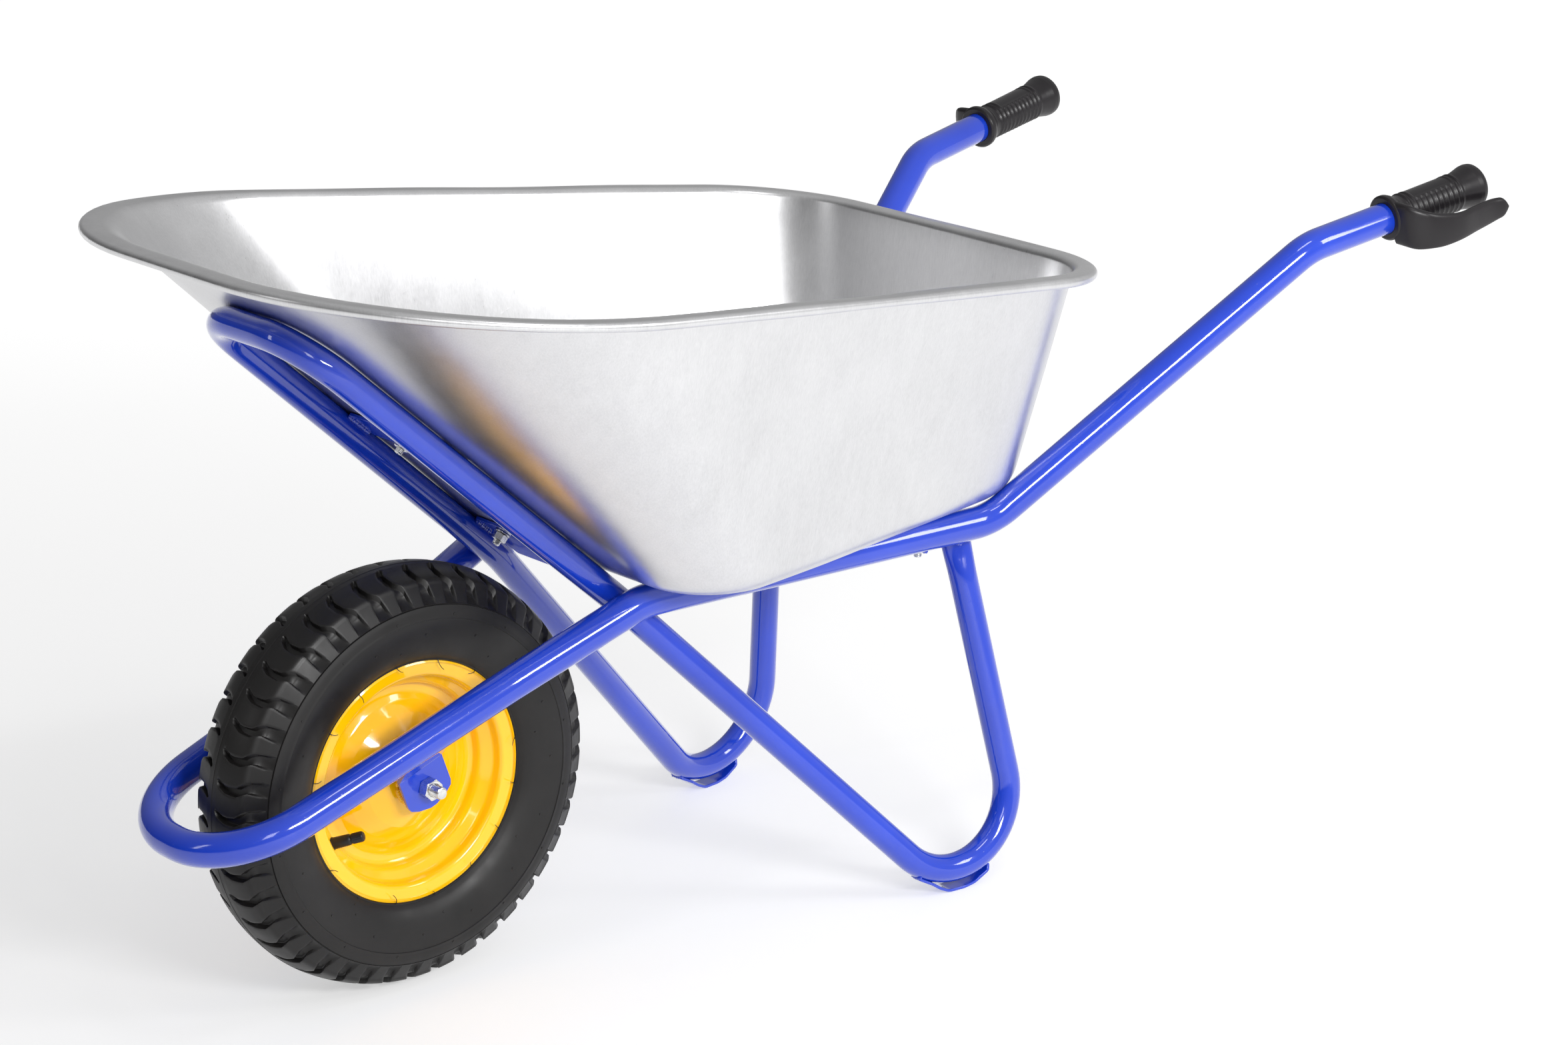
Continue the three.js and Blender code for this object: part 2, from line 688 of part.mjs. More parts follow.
// ---------------------------------------------------------------- wheel
// Turned about the axle. Profiles are [radius, y] of the left half; the right half is its mirror.
const WHEEL_SEGMENTS = 32;
const RIM_PROFILE = [
  [20.4, 31],
  [30, 30],
  [45, 22],
  [60, 12],
  [70, 4],
  [77.5, 0.2],
  [88.7, 0.2],
  [90, 12],
  [100.6, 20],
  [101.2, 28.5],
  [103, 30.6],
  [113.5, 31],
  [114.9, 35.2],
  [112.5, 33.2],
  [101.4, 32.6],
  [99.2, 28.8],
  [98.6, 21.5],
  [87.8, 12.8],
  [86.6, 5.4],
  [84, 3],
  [78.5, 2.8],
  [71, 6.2],
  [61, 14],
  [46, 24],
  [30, 32.2],
  [20.4, 33.2],
  [20.4, 31],
];
const TYRE_OUTSIDE = [
  [WHEEL_RADIUS, 0],
  [198, 16],
  [192.9, 31.5],
  [181, 43],
  [171.4, 46.6],
  [160, 49.5],
  [147, 48.6],
  [129, 43.5],
  [118, 36],
  [114.2, 30.5],
  [104.3, 29.9],
  [102, 28.2],
  [102, 22],
];
const TYRE_INSIDE = [
  [108, 22],
  [117, 26],
  [135, 39.5],
  [155, 43.2],
  [168, 40],
  [180, 28],
  [186, 0],
];
const AIR_TUBE_OUTSIDE = [
  [183, 0],
  [178.5, 20],
  [166, 33],
  [150, 37],
  [132, 33],
  [113, 21],
  [101.5, 10],
  [99, 0],
];
const AIR_TUBE_INSIDE = [
  [180.5, 0],
  [176, 19],
  [164.5, 31],
  [150, 34.4],
  [133.5, 30.8],
  [116.8, 20],
  [104, 8.5],
  [101.5, 0],
];


// A whole section from its left half, which starts and ends on the wheel's mid plane.
function wholeSection(half) {
  const right = half.map(([r, y]) => [r, -y]).reverse();
  return [...half, ...right.slice(1)];
}

function tyre() {
  const section = wholeSection([...TYRE_OUTSIDE, ...TYRE_INSIDE]);
  return named("tyre", turned(section, WHEEL_SEGMENTS), BLACK_RUBBER);
}

// The valve stands square to the step of the rim. In its frame local Z runs outwards along the stem.
const VALVE_ANGLE = THREE.MathUtils.degToRad(28.5);
const VALVE_RADIUS = 5.7;

function valveFrame() {
  const outward = new THREE.Vector3(Math.cos(VALVE_ANGLE), 0, -Math.sin(VALVE_ANGLE));
  const axis = outward.clone().multiplyScalar(-0.66).add(new THREE.Vector3(0, 0.75, 0)).normalize();
  const turn = new THREE.Quaternion().setFromUnitVectors(new THREE.Vector3(0, 0, 1), axis);
  const foot = outward.clone().multiplyScalar(94.4).add(new THREE.Vector3(0, 15, 0));
  return new THREE.Matrix4().compose(foot, turn, new THREE.Vector3(1, 1, 1));
}

function valveStem() {
  const profile = [
    [0, -7.5],
    [VALVE_RADIUS, -7.5],
    [VALVE_RADIUS, 20],
    [3.8, 21.5],
    [3.8, 31],
    [0, 31],
  ];
  const stem = turned(profile, 16).rotateX(Math.PI / 2);
  return named("valve_stem", stem.applyMatrix4(valveFrame()), BLACK_RUBBER);
}

function valveCap() {
  const profile = [
    [4.2, 22],
    [5, 22],
    [5, 32],
    [4, 33.5],
    [0, 33.5],
    [0, 31.5],
    [4.2, 31.5],
    [4.2, 22],
  ];
  const cap = turned(profile, 16).rotateX(Math.PI / 2);
  return named("valve_cap", cap.applyMatrix4(valveFrame()), BLACK_PLASTIC);
}

function innerTube() {
  const outside = turned(wholeSection(AIR_TUBE_OUTSIDE), WHEEL_SEGMENTS);
  const hollow = turned(wholeSection(AIR_TUBE_INSIDE), WHEEL_SEGMENTS);
  const valveHole = bar(3, -22, -5, 8).applyMatrix4(valveFrame());
  return named("inner_tube", cut(outside, hollow, valveHole), BLACK_RUBBER);
}

function rimHalves() {
  const valveHole = bar(VALVE_RADIUS + 0.5, -6, 8, 16).applyMatrix4(valveFrame());
  const half = turned(RIM_PROFILE, WHEEL_SEGMENTS);
  const left = named("rim_half_left", cut(half, valveHole), YELLOW_ENAMEL);
  return [left, onRight("rim_half_right", named("", half, YELLOW_ENAMEL))];
}

// ---------------------------------------------------------------- hub and axle
const BEARING_Y = 33;
const BEARING_HALF_WIDTH = 5;
const BALL_RADIUS = 1.8;
const BALL_PITCH_RADIUS = 10.9;
const BALL_COUNT = 7;

function hub() {
  return named("hub", ring(16, 20, -HUB_HALF_LENGTH, HUB_HALF_LENGTH, WHEEL_SEGMENTS), YELLOW_ENAMEL);
}

function outerRace() {
  const race = ring(13, 15.7, -BEARING_HALF_WIDTH, BEARING_HALF_WIDTH, 24).translate(0, BEARING_Y, 0);
  return named("bearing_outer_race_left", race, BEARING_STEEL);
}

function innerRace() {
  const race = ring(AXLE_RADIUS + GAP, 8.8, -BEARING_HALF_WIDTH, BEARING_HALF_WIDTH, 24);
  return named("bearing_inner_race_left", race.translate(0, BEARING_Y, 0), BEARING_STEEL);
}

function ballCage() {
  const balls = Array.from({ length: BALL_COUNT }, (_, k) => {
    const angle = (2 * Math.PI * k) / BALL_COUNT;
    const ball = new THREE.SphereGeometry(BALL_RADIUS, 6, 4);
    return ball.translate(BALL_PITCH_RADIUS * Math.sin(angle), 0, BALL_PITCH_RADIUS * Math.cos(angle));
  });
  const cage = join(ring(10.2, 11.6, -1, 1, 14), ...balls);
  return named("bearing_balls_left", cage.translate(0, BEARING_Y, 0), BEARING_STEEL);
}

function sideSpacer() {
  const start = BEARING_Y + BEARING_HALF_WIDTH + GAP;
  const spacer = ring(AXLE_RADIUS + GAP, 10, start, BRACKET_INNER_Y - GAP, 24);
  return named("side_spacer_left", spacer, ZINC_BOLT);
}

function centreSpacer() {
  const end = BEARING_Y - BEARING_HALF_WIDTH - GAP;
  return named("centre_spacer", ring(AXLE_RADIUS + GAP, 8.6, -end, end, 24), ZINC_BOLT);
}

function axleBolt() {
  const headInside = BRACKET_INNER_Y + BRACKET_THICKNESS + GAP;
  const head = new THREE.CylinderGeometry(10.4, 10.4, 7.5, 6).translate(0, -headInside - 3.75, 0);
  const shank = turned([[0, -headInside - 2], [AXLE_RADIUS, -headInside - 2], [AXLE_RADIUS, 73.5], [4.8, 75], [0, 75]], 20);
  return named("axle_bolt", join(head, shank), ZINC_BOLT);
}

function axleNut() {
  const nut = hexNut(20.8, 10.8, AXLE_RADIUS + GAP).rotateX(Math.PI / 2);
  nut.translate(0, BRACKET_INNER_Y + BRACKET_THICKNESS + GAP + 5.4, 0);
  return named("axle_nut", nut, ZINC_BOLT);
}

// ---------------------------------------------------------------- assembly
function onRight(name, mesh) {
  const side = new THREE.Group();
  side.scale.y = -1;
  mesh.name = name;
  return side.add(mesh);
}

function bothSides(make, stem) {
  return [make(), onRight(stem + "_right", make())];
}

function wheelAndAxle() {
  const group = new THREE.Group();
  group.position.z = AXLE_HEIGHT;
  group.add(tyre(), innerTube(), valveStem(), valveCap(), ...rimHalves(), hub());
  group.add(...bothSides(outerRace, "bearing_outer_race"));
  group.add(...bothSides(innerRace, "bearing_inner_race"));
  group.add(...bothSides(ballCage, "bearing_balls"));
  group.add(...bothSides(sideSpacer, "side_spacer"));
  group.add(centreSpacer(), axleBolt(), axleNut());
  return group;
}

const barrow = new THREE.Group();
barrow.add(mainTube(), legHoopTube());
barrow.add(...bothSides(footSkid, "foot_skid"));
barrow.add(...bothSides(axleBracket, "axle_bracket"));
barrow.add(...bothSides(grip, "grip"));
barrow.add(frontPlate(), hoopPlate(), rearStrap());
barrow.add(pan(trayDrills()), ...trayFasteners());
barrow.add(wheelAndAxle());
barrow.position.x = AXLE_SHIFT;

const root = new THREE.Group();
root.add(barrow);
root.updateMatrixWorld(true);

export default root;
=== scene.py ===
"""A builder's wheelbarrow: enamelled tube frame, galvanised pan, lugged tyre on a pressed disc wheel.

Lengths are in millimetres from the wheel's axle (x), the mid plane (y) and the ground (z), and a Shape is
made in them. `place` turns them into metres in the shared frame, where every piece ends up.
"""

import json
import math
import random
from collections import namedtuple

import bmesh
import bpy
import numpy as np
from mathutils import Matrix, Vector


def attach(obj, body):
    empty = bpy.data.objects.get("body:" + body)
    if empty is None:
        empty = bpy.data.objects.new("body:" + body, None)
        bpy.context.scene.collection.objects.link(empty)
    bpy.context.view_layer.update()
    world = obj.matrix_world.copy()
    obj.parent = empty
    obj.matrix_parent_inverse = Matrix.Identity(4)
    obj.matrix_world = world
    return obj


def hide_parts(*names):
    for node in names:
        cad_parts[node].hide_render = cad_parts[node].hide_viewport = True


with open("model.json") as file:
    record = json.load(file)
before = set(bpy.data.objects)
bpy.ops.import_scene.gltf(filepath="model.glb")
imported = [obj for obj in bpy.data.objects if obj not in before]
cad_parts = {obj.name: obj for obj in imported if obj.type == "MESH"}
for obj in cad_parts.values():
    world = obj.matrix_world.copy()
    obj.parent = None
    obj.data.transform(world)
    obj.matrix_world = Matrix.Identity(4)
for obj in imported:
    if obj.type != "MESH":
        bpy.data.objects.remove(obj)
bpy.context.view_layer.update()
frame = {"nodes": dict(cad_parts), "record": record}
random.seed(7)

MM = 0.001
AXLE = Vector(frame["record"]["behaviour"]["joints"][0]["pos_m"])
AXLE_HEIGHT = 200.0
AXLE_CENTRE = np.array([0.0, 0.0, AXLE_HEIGHT])
AHEAD = np.array([1.0, 0.0, 0.0])
ACROSS = np.array([0.0, 1.0, 0.0])
UP = np.array([0.0, 0.0, 1.0])
MIRROR = np.array([1.0, -1.0, 1.0])


def place(points):
    """Millimetres from the axle, the mid plane and the ground, as metres in the shared frame."""
    return np.asarray(points, float) * MM + np.array([AXLE.x, 0.0, 0.0])


def unit(v):
    v = np.asarray(v, float)
    return v / np.linalg.norm(v)


# ---- materials ----
class Nodes:
    """A small helper around the node tree of a new material or world."""

    def __init__(self, name, made_in=bpy.data.materials, shader="Principled BSDF", coords="Object"):
        self.owner = made_in.new(name)
        self.owner.use_nodes = True
        self.tree = self.owner.node_tree
        self.shader = self.tree.nodes[shader]
        self.coords = self.tree.nodes.new("ShaderNodeTexCoord").outputs[coords]

    def new(self, kind, operation=None, **inputs):
        node = self.tree.nodes.new(kind)
        if operation:
            node.operation = operation
        for key, value in inputs.items():
            node.inputs[key.replace("_", " ")].default_value = value
        return node

    def link(self, a, b):
        self.tree.links.new(a, b)

    def set(self, **values):
        for key, value in values.items():
            self.shader.inputs[key.replace("_", " ")].default_value = value

    def stretched(self, scale):
        node = self.new("ShaderNodeMapping", Scale=scale)
        self.link(self.coords, node.inputs["Vector"])
        return node.outputs["Vector"]

    def noise(self, scale, detail=3.0, roughness=0.5, vector=None):
        node = self.new("ShaderNodeTexNoise", Scale=scale, Detail=detail, Roughness=roughness)
        self.link(vector or self.coords, node.inputs["Vector"])
        return node.outputs["Fac"]

    def ramp(self, fac, stops):
        node = self.new("ShaderNodeValToRGB")
        elements = node.color_ramp.elements
        while len(elements) < len(stops):
            elements.new(0.5)
        for element, (position, color) in zip(elements, stops):
            element.position = position
            element.color = (*color, 1.0)
        self.link(fac, node.inputs["Fac"])
        return node.outputs["Color"]

    def span(self, fac, low, high, start, end):
        """Maps start to end of fac onto low to high."""
        node = self.new("ShaderNodeMapRange", From_Min=start, From_Max=end, To_Min=low, To_Max=high)
        self.link(fac, node.inputs["Value"])
        return node.outputs["Result"]

    def toward(self, direction, low, high, start, end):
        """Maps start to end of the way along a direction onto low to high."""
        along = self.new("ShaderNodeVectorMath", "DOT_PRODUCT")
        along.inputs[1].default_value = direction
        self.link(self.coords, along.inputs[0])
        return self.span(along.outputs["Value"], low, high, start, end)

    def math(self, operation, a, b):
        node = self.new("ShaderNodeMath", operation)
        for socket, value in zip(node.inputs, (a, b)):
            if isinstance(value, (int, float)):
                socket.default_value = value
            else:
                self.link(value, socket)
        return node.outputs["Value"]

    def color(self, output):
        self.link(output, self.shader.inputs["Base Color"])

    def roughness(self, output):
        self.link(output, self.shader.inputs["Roughness"])

    def bump(self, height, strength, distance, under=None):
        node = self.new("ShaderNodeBump", Strength=strength, Distance=distance)
        self.link(height, node.inputs["Height"])
        if under is not None:
            self.link(under, node.inputs["Normal"])
        self.link(node.outputs["Normal"], self.shader.inputs["Normal"])
        return node.outputs["Normal"]


def enamel(name, deep, bright, rough, coat):
    """Stoved enamel: a clear gloss over pigment that varies a little, with orange peel and fine dust nibs."""
    n = Nodes(name)
    n.set(Metallic=0.0, IOR=1.46, Coat_Weight=coat, Coat_Roughness=0.03)
    n.color(n.ramp(n.noise(9.0, 4.0), [(0.3, deep), (0.7, bright)]))
    n.roughness(n.span(n.noise(35.0, 5.0), rough * 0.8, rough * 1.5, 0.3, 0.7))
    dust = n.ramp(n.noise(420.0, 1.0), [(0.70, (0, 0, 0)), (0.78, (1, 1, 1))])
    peel = n.bump(n.noise(480.0, 2.0), 0.04, 0.0004)
    n.bump(dust, 0.25, 0.0003, peel)
    return n.owner


def zinc_sheet():
    """Galvanised deep-drawn sheet: cloudy grey with fine draw marks up the walls and a few scratches."""
    n = Nodes("zinc_sheet")
    n.set(Metallic=1.0, Anisotropic=0.25)
    streak_fine = n.noise(1.0, 6.0, 0.65, n.stretched((700.0, 700.0, 9.0)))
    streak_wide = n.noise(1.0, 4.0, 0.6, n.stretched((90.0, 90.0, 2.5)))
    cloud = n.noise(7.0, 5.0, 0.6)
    scratch = n.noise(1.0, 2.0, 0.5, n.stretched((60.0, 900.0, 40.0)))
    mixed = n.math("ADD", n.math("MULTIPLY", streak_fine, 0.45), n.math("MULTIPLY", cloud, 0.35))
    mixed = n.math("ADD", mixed, n.math("MULTIPLY", streak_wide, 0.2))
    greys = [(0.36, (0.66, 0.66, 0.67)), (0.5, (0.73, 0.73, 0.74)), (0.64, (0.79, 0.79, 0.80))]
    n.color(n.ramp(mixed, greys))
    n.roughness(n.span(mixed, 0.27, 0.36, 0.35, 0.65))
    under = n.bump(streak_fine, 0.04, 0.0003)
    marks = n.ramp(scratch, [(0.70, (0, 0, 0)), (0.76, (1, 1, 1))])
    n.bump(marks, 0.08, 0.0003, under)
    return n.owner


def bright_zinc(name, rough):
    """Bright plate on small hardware: near mirror, with faint machining lines and a warm and cool cast."""
    n = Nodes(name)
    n.set(Metallic=1.0)
    casts = [(0.3, (0.62, 0.63, 0.64)), (0.6, (0.80, 0.80, 0.78)), (0.8, (0.86, 0.83, 0.74))]
    n.color(n.ramp(n.noise(160.0, 3.0), casts))
    n.roughness(n.span(n.noise(900.0, 2.0), rough * 0.7, rough * 1.9, 0.3, 0.7))
    n.bump(n.noise(1.0, 2.0, 0.5, n.stretched((300.0, 4000.0, 300.0))), 0.08, 0.0002)
    return n.owner


def moulded_rubber(name, dark, light, rough, grain):
    """Vulcanised rubber: nearly black, with mould sheen that varies and a very fine grain."""
    n = Nodes(name)
    n.set(Metallic=0.0, IOR=1.42)
    n.color(n.ramp(n.noise(14.0, 5.0, 0.6), [(0.3, dark), (0.7, light)]))
    n.roughness(n.span(n.noise(30.0, 5.0, 0.6), rough * 0.82, rough * 1.2, 0.3, 0.7))
    n.bump(n.noise(1500.0, 2.0), grain, 0.0002, n.bump(n.noise(60.0, 4.0), 0.10, 0.0012))
    return n.owner


# A finish is a material and the slot that it stands for.
BLUE = enamel("blue_enamel", (0.006, 0.038, 0.46), (0.009, 0.050, 0.55), 0.11, 1.0), "blue_enamel"
YELLOW = enamel("yellow_enamel", (1.0, 0.49, 0.0), (1.0, 0.57, 0.0), 0.10, 0.8), "yellow_enamel"
SHEET = zinc_sheet(), "zinc_sheet"
PLATED = bright_zinc("bright_zinc", 0.18), "zinc_fasteners"
BEARING = bright_zinc("bearing_steel", 0.10), "bearing_steel"
TYRE_RUBBER = (moulded_rubber("tyre_rubber", (0.005, 0.0045, 0.0045), (0.011, 0.010, 0.0097), 0.44, 0.08),
               "tyre_rubber")
TUBE_RUBBER = (moulded_rubber("black_rubber", (0.010, 0.009, 0.009), (0.016, 0.014, 0.014), 0.40, 0.05),
               "black_rubber")
PLASTIC = (moulded_rubber("black_plastic", (0.010, 0.0085, 0.010), (0.014, 0.012, 0.014), 0.34, 0.06),
           "black_plastic")


# ---- meshes ----
def new_object(name, data):
    obj = bpy.data.objects.new(name, data)
    bpy.context.scene.collection.objects.link(obj)
    return obj


class Shape:
    """Points and faces gathered from several grids."""

    def __init__(self):
        self.points = []
        self.faces = []
        self.count = 0

    def grid(self, rings, closed=False):
        """Faces between successive rings of as many points; closed also joins the last ring to the first."""
        rings = [np.asarray(ring, float) for ring in rings]
        if closed:
            rings = rings + [rings[0]]
        size = len(rings[0])
        for a in range(self.count, self.count + (len(rings) - 1) * size, size):
            b = a + size
            self.faces += [(a + j, a + (j + 1) % size, b + (j + 1) % size, b + j) for j in range(size)]
        return self.add(np.concatenate(rings))

    def add(self, points):
        self.points.append(points)
        self.count += len(points)
        return self

    def cap(self, ring, flip=False):
        face = range(self.count, self.count + len(ring))
        self.faces.append(tuple(reversed(face) if flip else face))
        return self.add(np.asarray(ring, float))

    def bar(self, rings):
        """A run of rings with both ends capped."""
        return self.grid(rings).cap(rings[0], flip=True).cap(rings[-1])


def piece(name, shape, finish, body, replaces=(), sharp=32.0, mirror=False, bevel=0.0):
    """Makes one object of a Shape; mirror makes its copy on the other side of the mid plane."""
    material, slot = finish
    points = np.concatenate(shape.points)
    faces = shape.faces
    if mirror:
        points = points * MIRROR
        faces = [tuple(reversed(f)) for f in faces]
    mesh = bpy.data.meshes.new(name)
    mesh.from_pydata(place(points).tolist(), [], faces)
    mesh.validate()
    merge(mesh)
    for polygon in mesh.polygons:
        polygon.use_smooth = True
    mesh.set_sharp_from_angle(angle=math.radians(sharp))
    mesh.materials.append(material)
    obj = new_object(name, mesh)
    if bevel:
        modifier = obj.modifiers.new("soft_edges", "BEVEL")
        modifier.width = bevel * MM
        modifier.segments = 2
        modifier.limit_method = "ANGLE"
        modifier.angle_limit = math.radians(40)
        modifier.harden_normals = True
    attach(obj, body)
    if replaces:
        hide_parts(*replaces)
    return obj


def merge(mesh):
    """Joins points that coincide and turns every face outwards."""
    bm = bmesh.new()
    bm.from_mesh(mesh)
    bmesh.ops.remove_doubles(bm, verts=bm.verts, dist=2e-6)
    bmesh.ops.dissolve_degenerate(bm, edges=bm.edges, dist=1e-6)
    bmesh.ops.recalc_face_normals(bm, faces=bm.faces)
    bm.to_mesh(mesh)
    bm.free()


def pair(name, shape, finish, body, nodes=(), **options):
    """A left piece and its mirror image; nodes are the stems of the CAD nodes that they stand for."""
    for side, mirror in (("left", False), ("right", True)):
        replaced = [stem + "_" + side for stem in nodes]
        piece(name + "_" + side, shape, finish, body, replaced, mirror=mirror, **options)


# ---- paths ----
def headings(points):
    """Unit tangents of a polyline."""
    tangents = np.gradient(np.asarray(points, float), axis=0)
    return tangents / np.linalg.norm(tangents, axis=1)[:, None]


def to_the_left(line):
    """Unit normals of a flat polyline, to the left of its heading."""
    tangent = headings(line)
    return np.stack([-tangent[:, 1], tangent[:, 0]], 1)


ARC_STEP = 0.07


def arc(before, corner, after, radius, steps=None):
    """Points and tangents of the arc that rounds a corner."""
    into, out = unit(corner - before), unit(after - corner)
    turn = math.acos(float(np.clip(into @ out, -1, 1)))
    start = corner - into * radius * math.tan(turn / 2)
    inward = unit(out - into * (out @ into))
    angles = np.linspace(0, turn, (steps or max(2, math.ceil(turn / ARC_STEP))) + 1)
    points = [start + (inward * (1 - math.cos(a)) + into * math.sin(a)) * radius for a in angles]
    return points, [into * math.cos(a) + inward * math.sin(a) for a in angles]


def bent_path(corners, radii):
    """Points and tangents of straight runs joined by tangent arcs."""
    corners = [np.asarray(c, float) for c in corners]
    points, tangents = [corners[0]], [unit(corners[1] - corners[0])]
    for before, corner, after, radius in zip(corners, corners[1:], corners[2:], radii):
        bend, headed = arc(before, corner, after, radius)
        points += bend
        tangents += headed
    points.append(corners[-1])
    tangents.append(unit(corners[-1] - corners[-2]))
    return np.array(points), np.array(tangents)


def densify(points, tangents, spacing):
    """Adds points on the long straight runs so that nothing is stretched."""
    out_p, out_t = [points[0]], [tangents[0]]
    for p, q, t in zip(points, points[1:], tangents[1:]):
        steps = max(1, int(np.linalg.norm(q - p) / spacing))
        for k in range(1, steps + 1):
            out_p.append(p + (q - p) * k / steps)
            out_t.append(t if k == steps else unit(q - p))
    return np.array(out_p), np.array(out_t)


def frames(tangents):
    """Rotation-minimising normals along a path."""
    normal = unit(np.cross(tangents[0], UP if abs(tangents[0] @ UP) < 0.9 else [1.0, 0, 0]))
    normals = []
    for t in tangents:
        normal = unit(normal - t * (normal @ t))
        normals.append(normal)
    return np.array(normals)


def full_turn(sides):
    return 2 * np.pi * np.arange(sides) / sides


def swept(points, tangents, radius, sides):
    """Rings round a path. radius is a number or a function of (index, point, outward direction)."""
    normals = frames(tangents)
    rings = []
    for i, (p, t, u) in enumerate(zip(points, tangents, normals)):
        v = np.cross(t, u)
        ring = []
        for a in full_turn(sides):
            out = u * math.cos(a) + v * math.sin(a)
            ring.append(p + out * (radius(i, p, out) if callable(radius) else radius))
        rings.append(ring)
    return rings


def hollow(points, tangents, radius, sides):
    """A tube with its bore, open at both ends."""
    outer = swept(points, tangents, radius, sides)
    inner_radius = (lambda i, p, out: radius(i, p, out) - WALL) if callable(radius) else radius - WALL
    inner = swept(points, tangents, inner_radius, sides)
    return Shape().grid(outer + inner[::-1], closed=True)


def weld(path, radius, seed):
    """A hand-laid bead along a path: overlapping puddles of uneven size."""
    rng = random.Random(seed)
    path = np.asarray(path, float)
    lengths = np.concatenate([[0], np.cumsum(np.linalg.norm(np.diff(path, axis=0), axis=1))])
    stations = np.arange(0, lengths[-1] + 0.01, 0.7)
    pts = np.array([[np.interp(s, lengths, path[:, a]) for a in range(3)] for s in stations])
    wobble = [rng.uniform(-0.3, 0.3) for _ in range(len(stations) // 4 + 3)]

    def size(i, p, out):
        puddle = abs(math.sin(stations[i] * math.pi / 2.6))
        ends = min(1.0, 0.25 + min(stations[i], lengths[-1] - stations[i]) / 3.0)
        return radius * ends * (0.72 + 0.28 * puddle + 0.3 * wobble[i // 4])

    return Shape().bar(swept(pts, headings(pts), size, 10))


def rounded(points, radii, steps=5):
    """A polyline with its inner corners rounded."""
    pts = [np.asarray(p, float) for p in points]
    out = [pts[0]]
    for before, corner, after, radius in zip(pts, pts[1:], pts[2:], radii):
        into, leave = unit(corner - before), unit(after - corner)
        turn = math.acos(float(np.clip(into @ leave, -1, 1)))
        if radius <= 0 or turn < 0.02:
            out.append(corner)
            continue
        reach = min(radius * math.tan(turn / 2), 0.48 * np.linalg.norm(corner - before),
                    0.48 * np.linalg.norm(after - corner))
        start, end = corner - into * reach, corner + leave * reach
        for k in range(steps + 1):
            t = k / steps
            out.append(start * (1 - t) ** 2 + corner * 2 * t * (1 - t) + end * t * t)
    out.append(pts[-1])
    return np.array(out)


# ---- frame tubes ----
FRAME_RADIUS = 16.0
LEG_RADIUS = 14.0
WALL = 1.6
HANDLE_BEND = np.array([-914.4, 281.0, 602.5])
HANDLE = unit([-0.97949, 0.11859, 0.16291])
HANDLE_END = HANDLE_BEND + HANDLE * 215
REAR_BEND = np.array([-597.0, 167.3, 361.0])
FRONT_BEND = np.array([-197.0, 123.0, 354.0])
ARM_BEND = np.array([-59.0, 102.0, 299.0])
NOSE = np.array([238.0, 84.0, 193.0])
LEG_TOP = np.array([-576.0, 135.0, 352.0])
FOOT = np.array([-632.0, 226.0, -116.0])
CROSSING = np.array([-192.2, 90.2, 348.6])
HOOP = np.array([137.8, 77.8, 644.7])


def both_ways(left):
    return left + [p * MIRROR for p in reversed(left)]


def main_tube():
    corners = both_ways([HANDLE_END, HANDLE_BEND, REAR_BEND, FRONT_BEND, ARM_BEND, NOSE])
    radii = [62, 66, 75, 150, 83.5, 83.5, 150, 75, 66, 62]
    points, tangents = densify(*bent_path(corners, radii), 30)
    return hollow(points, tangents, FRAME_RADIUS, 32)


PINCH_LENGTH = 34.0


def leg_hoop_tube():
    """The tops of the legs are pressed in on the outer front side, where they are welded to the main tube."""
    corners = both_ways([LEG_TOP, FOOT, CROSSING, HOOP])
    points, tangents = densify(*bent_path(corners, [73, 120, 57, 57, 120, 73]), 8)
    press = unit([0.62, 0.78, 0.05])

    def radius(i, p, out):
        if p[0] > -560 or p[2] < 250:
            return LEG_RADIUS
        depth = np.clip((p[2] - (335 - PINCH_LENGTH)) / PINCH_LENGTH, 0, 1)
        depth = depth * depth * (3 - 2 * depth)
        facing = out @ (press * (1 if p[1] > 0 else MIRROR))
        dent = max(0.0, facing) ** 1.5 * 0.5
        spread = (1 - facing * facing) * 0.06
        return LEG_RADIUS * (1 + depth * (spread * (1 if facing < 0.6 else 0.5) - dent))

    return hollow(points, tangents, radius, 28)


piece("frame_tube", main_tube(), BLUE, "frame", ["main_tube"])
piece("legs_and_hoop", leg_hoop_tube(), BLUE, "frame", ["leg_hoop_tube"])


# ---- flat work: skids, plates, brackets ----
def slab(outline, low, high, matrix):
    """An outline in local X and Y, thick from low to high in Z. A matrix is local x, y, z and origin."""
    x, y, z, origin = matrix
    rings = [[origin + x * a + y * b + z * h for a, b in outline] for h in (low, high)]
    return Shape().bar(rings)


SKID_HEADING = math.radians(-6.8)
SKID_X = AHEAD * math.cos(SKID_HEADING) + ACROSS * math.sin(SKID_HEADING)
SKID_Y = np.cross(UP, SKID_X)
SKID_ORIGIN = np.array([-532.5, 188.3, 0.0])
SKID_HALF_WIDTH = 9.3
SKID_THICKNESS = 3.0


def on_skid(x, across, z):
    return SKID_ORIGIN + SKID_X * x + SKID_Y * across + UP * z


def skid_shape():
    """A bent strip: flat where it stands, its ends turned up to the tube and rounded off."""
    bends = [(-37.4, 11.5), (-21, 2.4), (-8, 0), (11, 0), (22, 5.2), (31, 11.4)]
    under = rounded([(-39.6, 18.5), *bends, (46, 19.4)], [7, 20, 30, 18, 14, 22])
    over = under + to_the_left(under) * SKID_THICKNESS
    rows = []
    for i, (low, high) in enumerate(zip(under, over)):
        end = min(i, len(under) - 1 - i)
        half = SKID_HALF_WIDTH * (0.8 if end == 0 else 0.96 if end == 1 else 1.0)
        section = ((low, -half), (low, half), (high, half), (high, -half))
        rows.append([on_skid(x, w, z) for (x, z), w in section])
    return Shape().bar(rows)


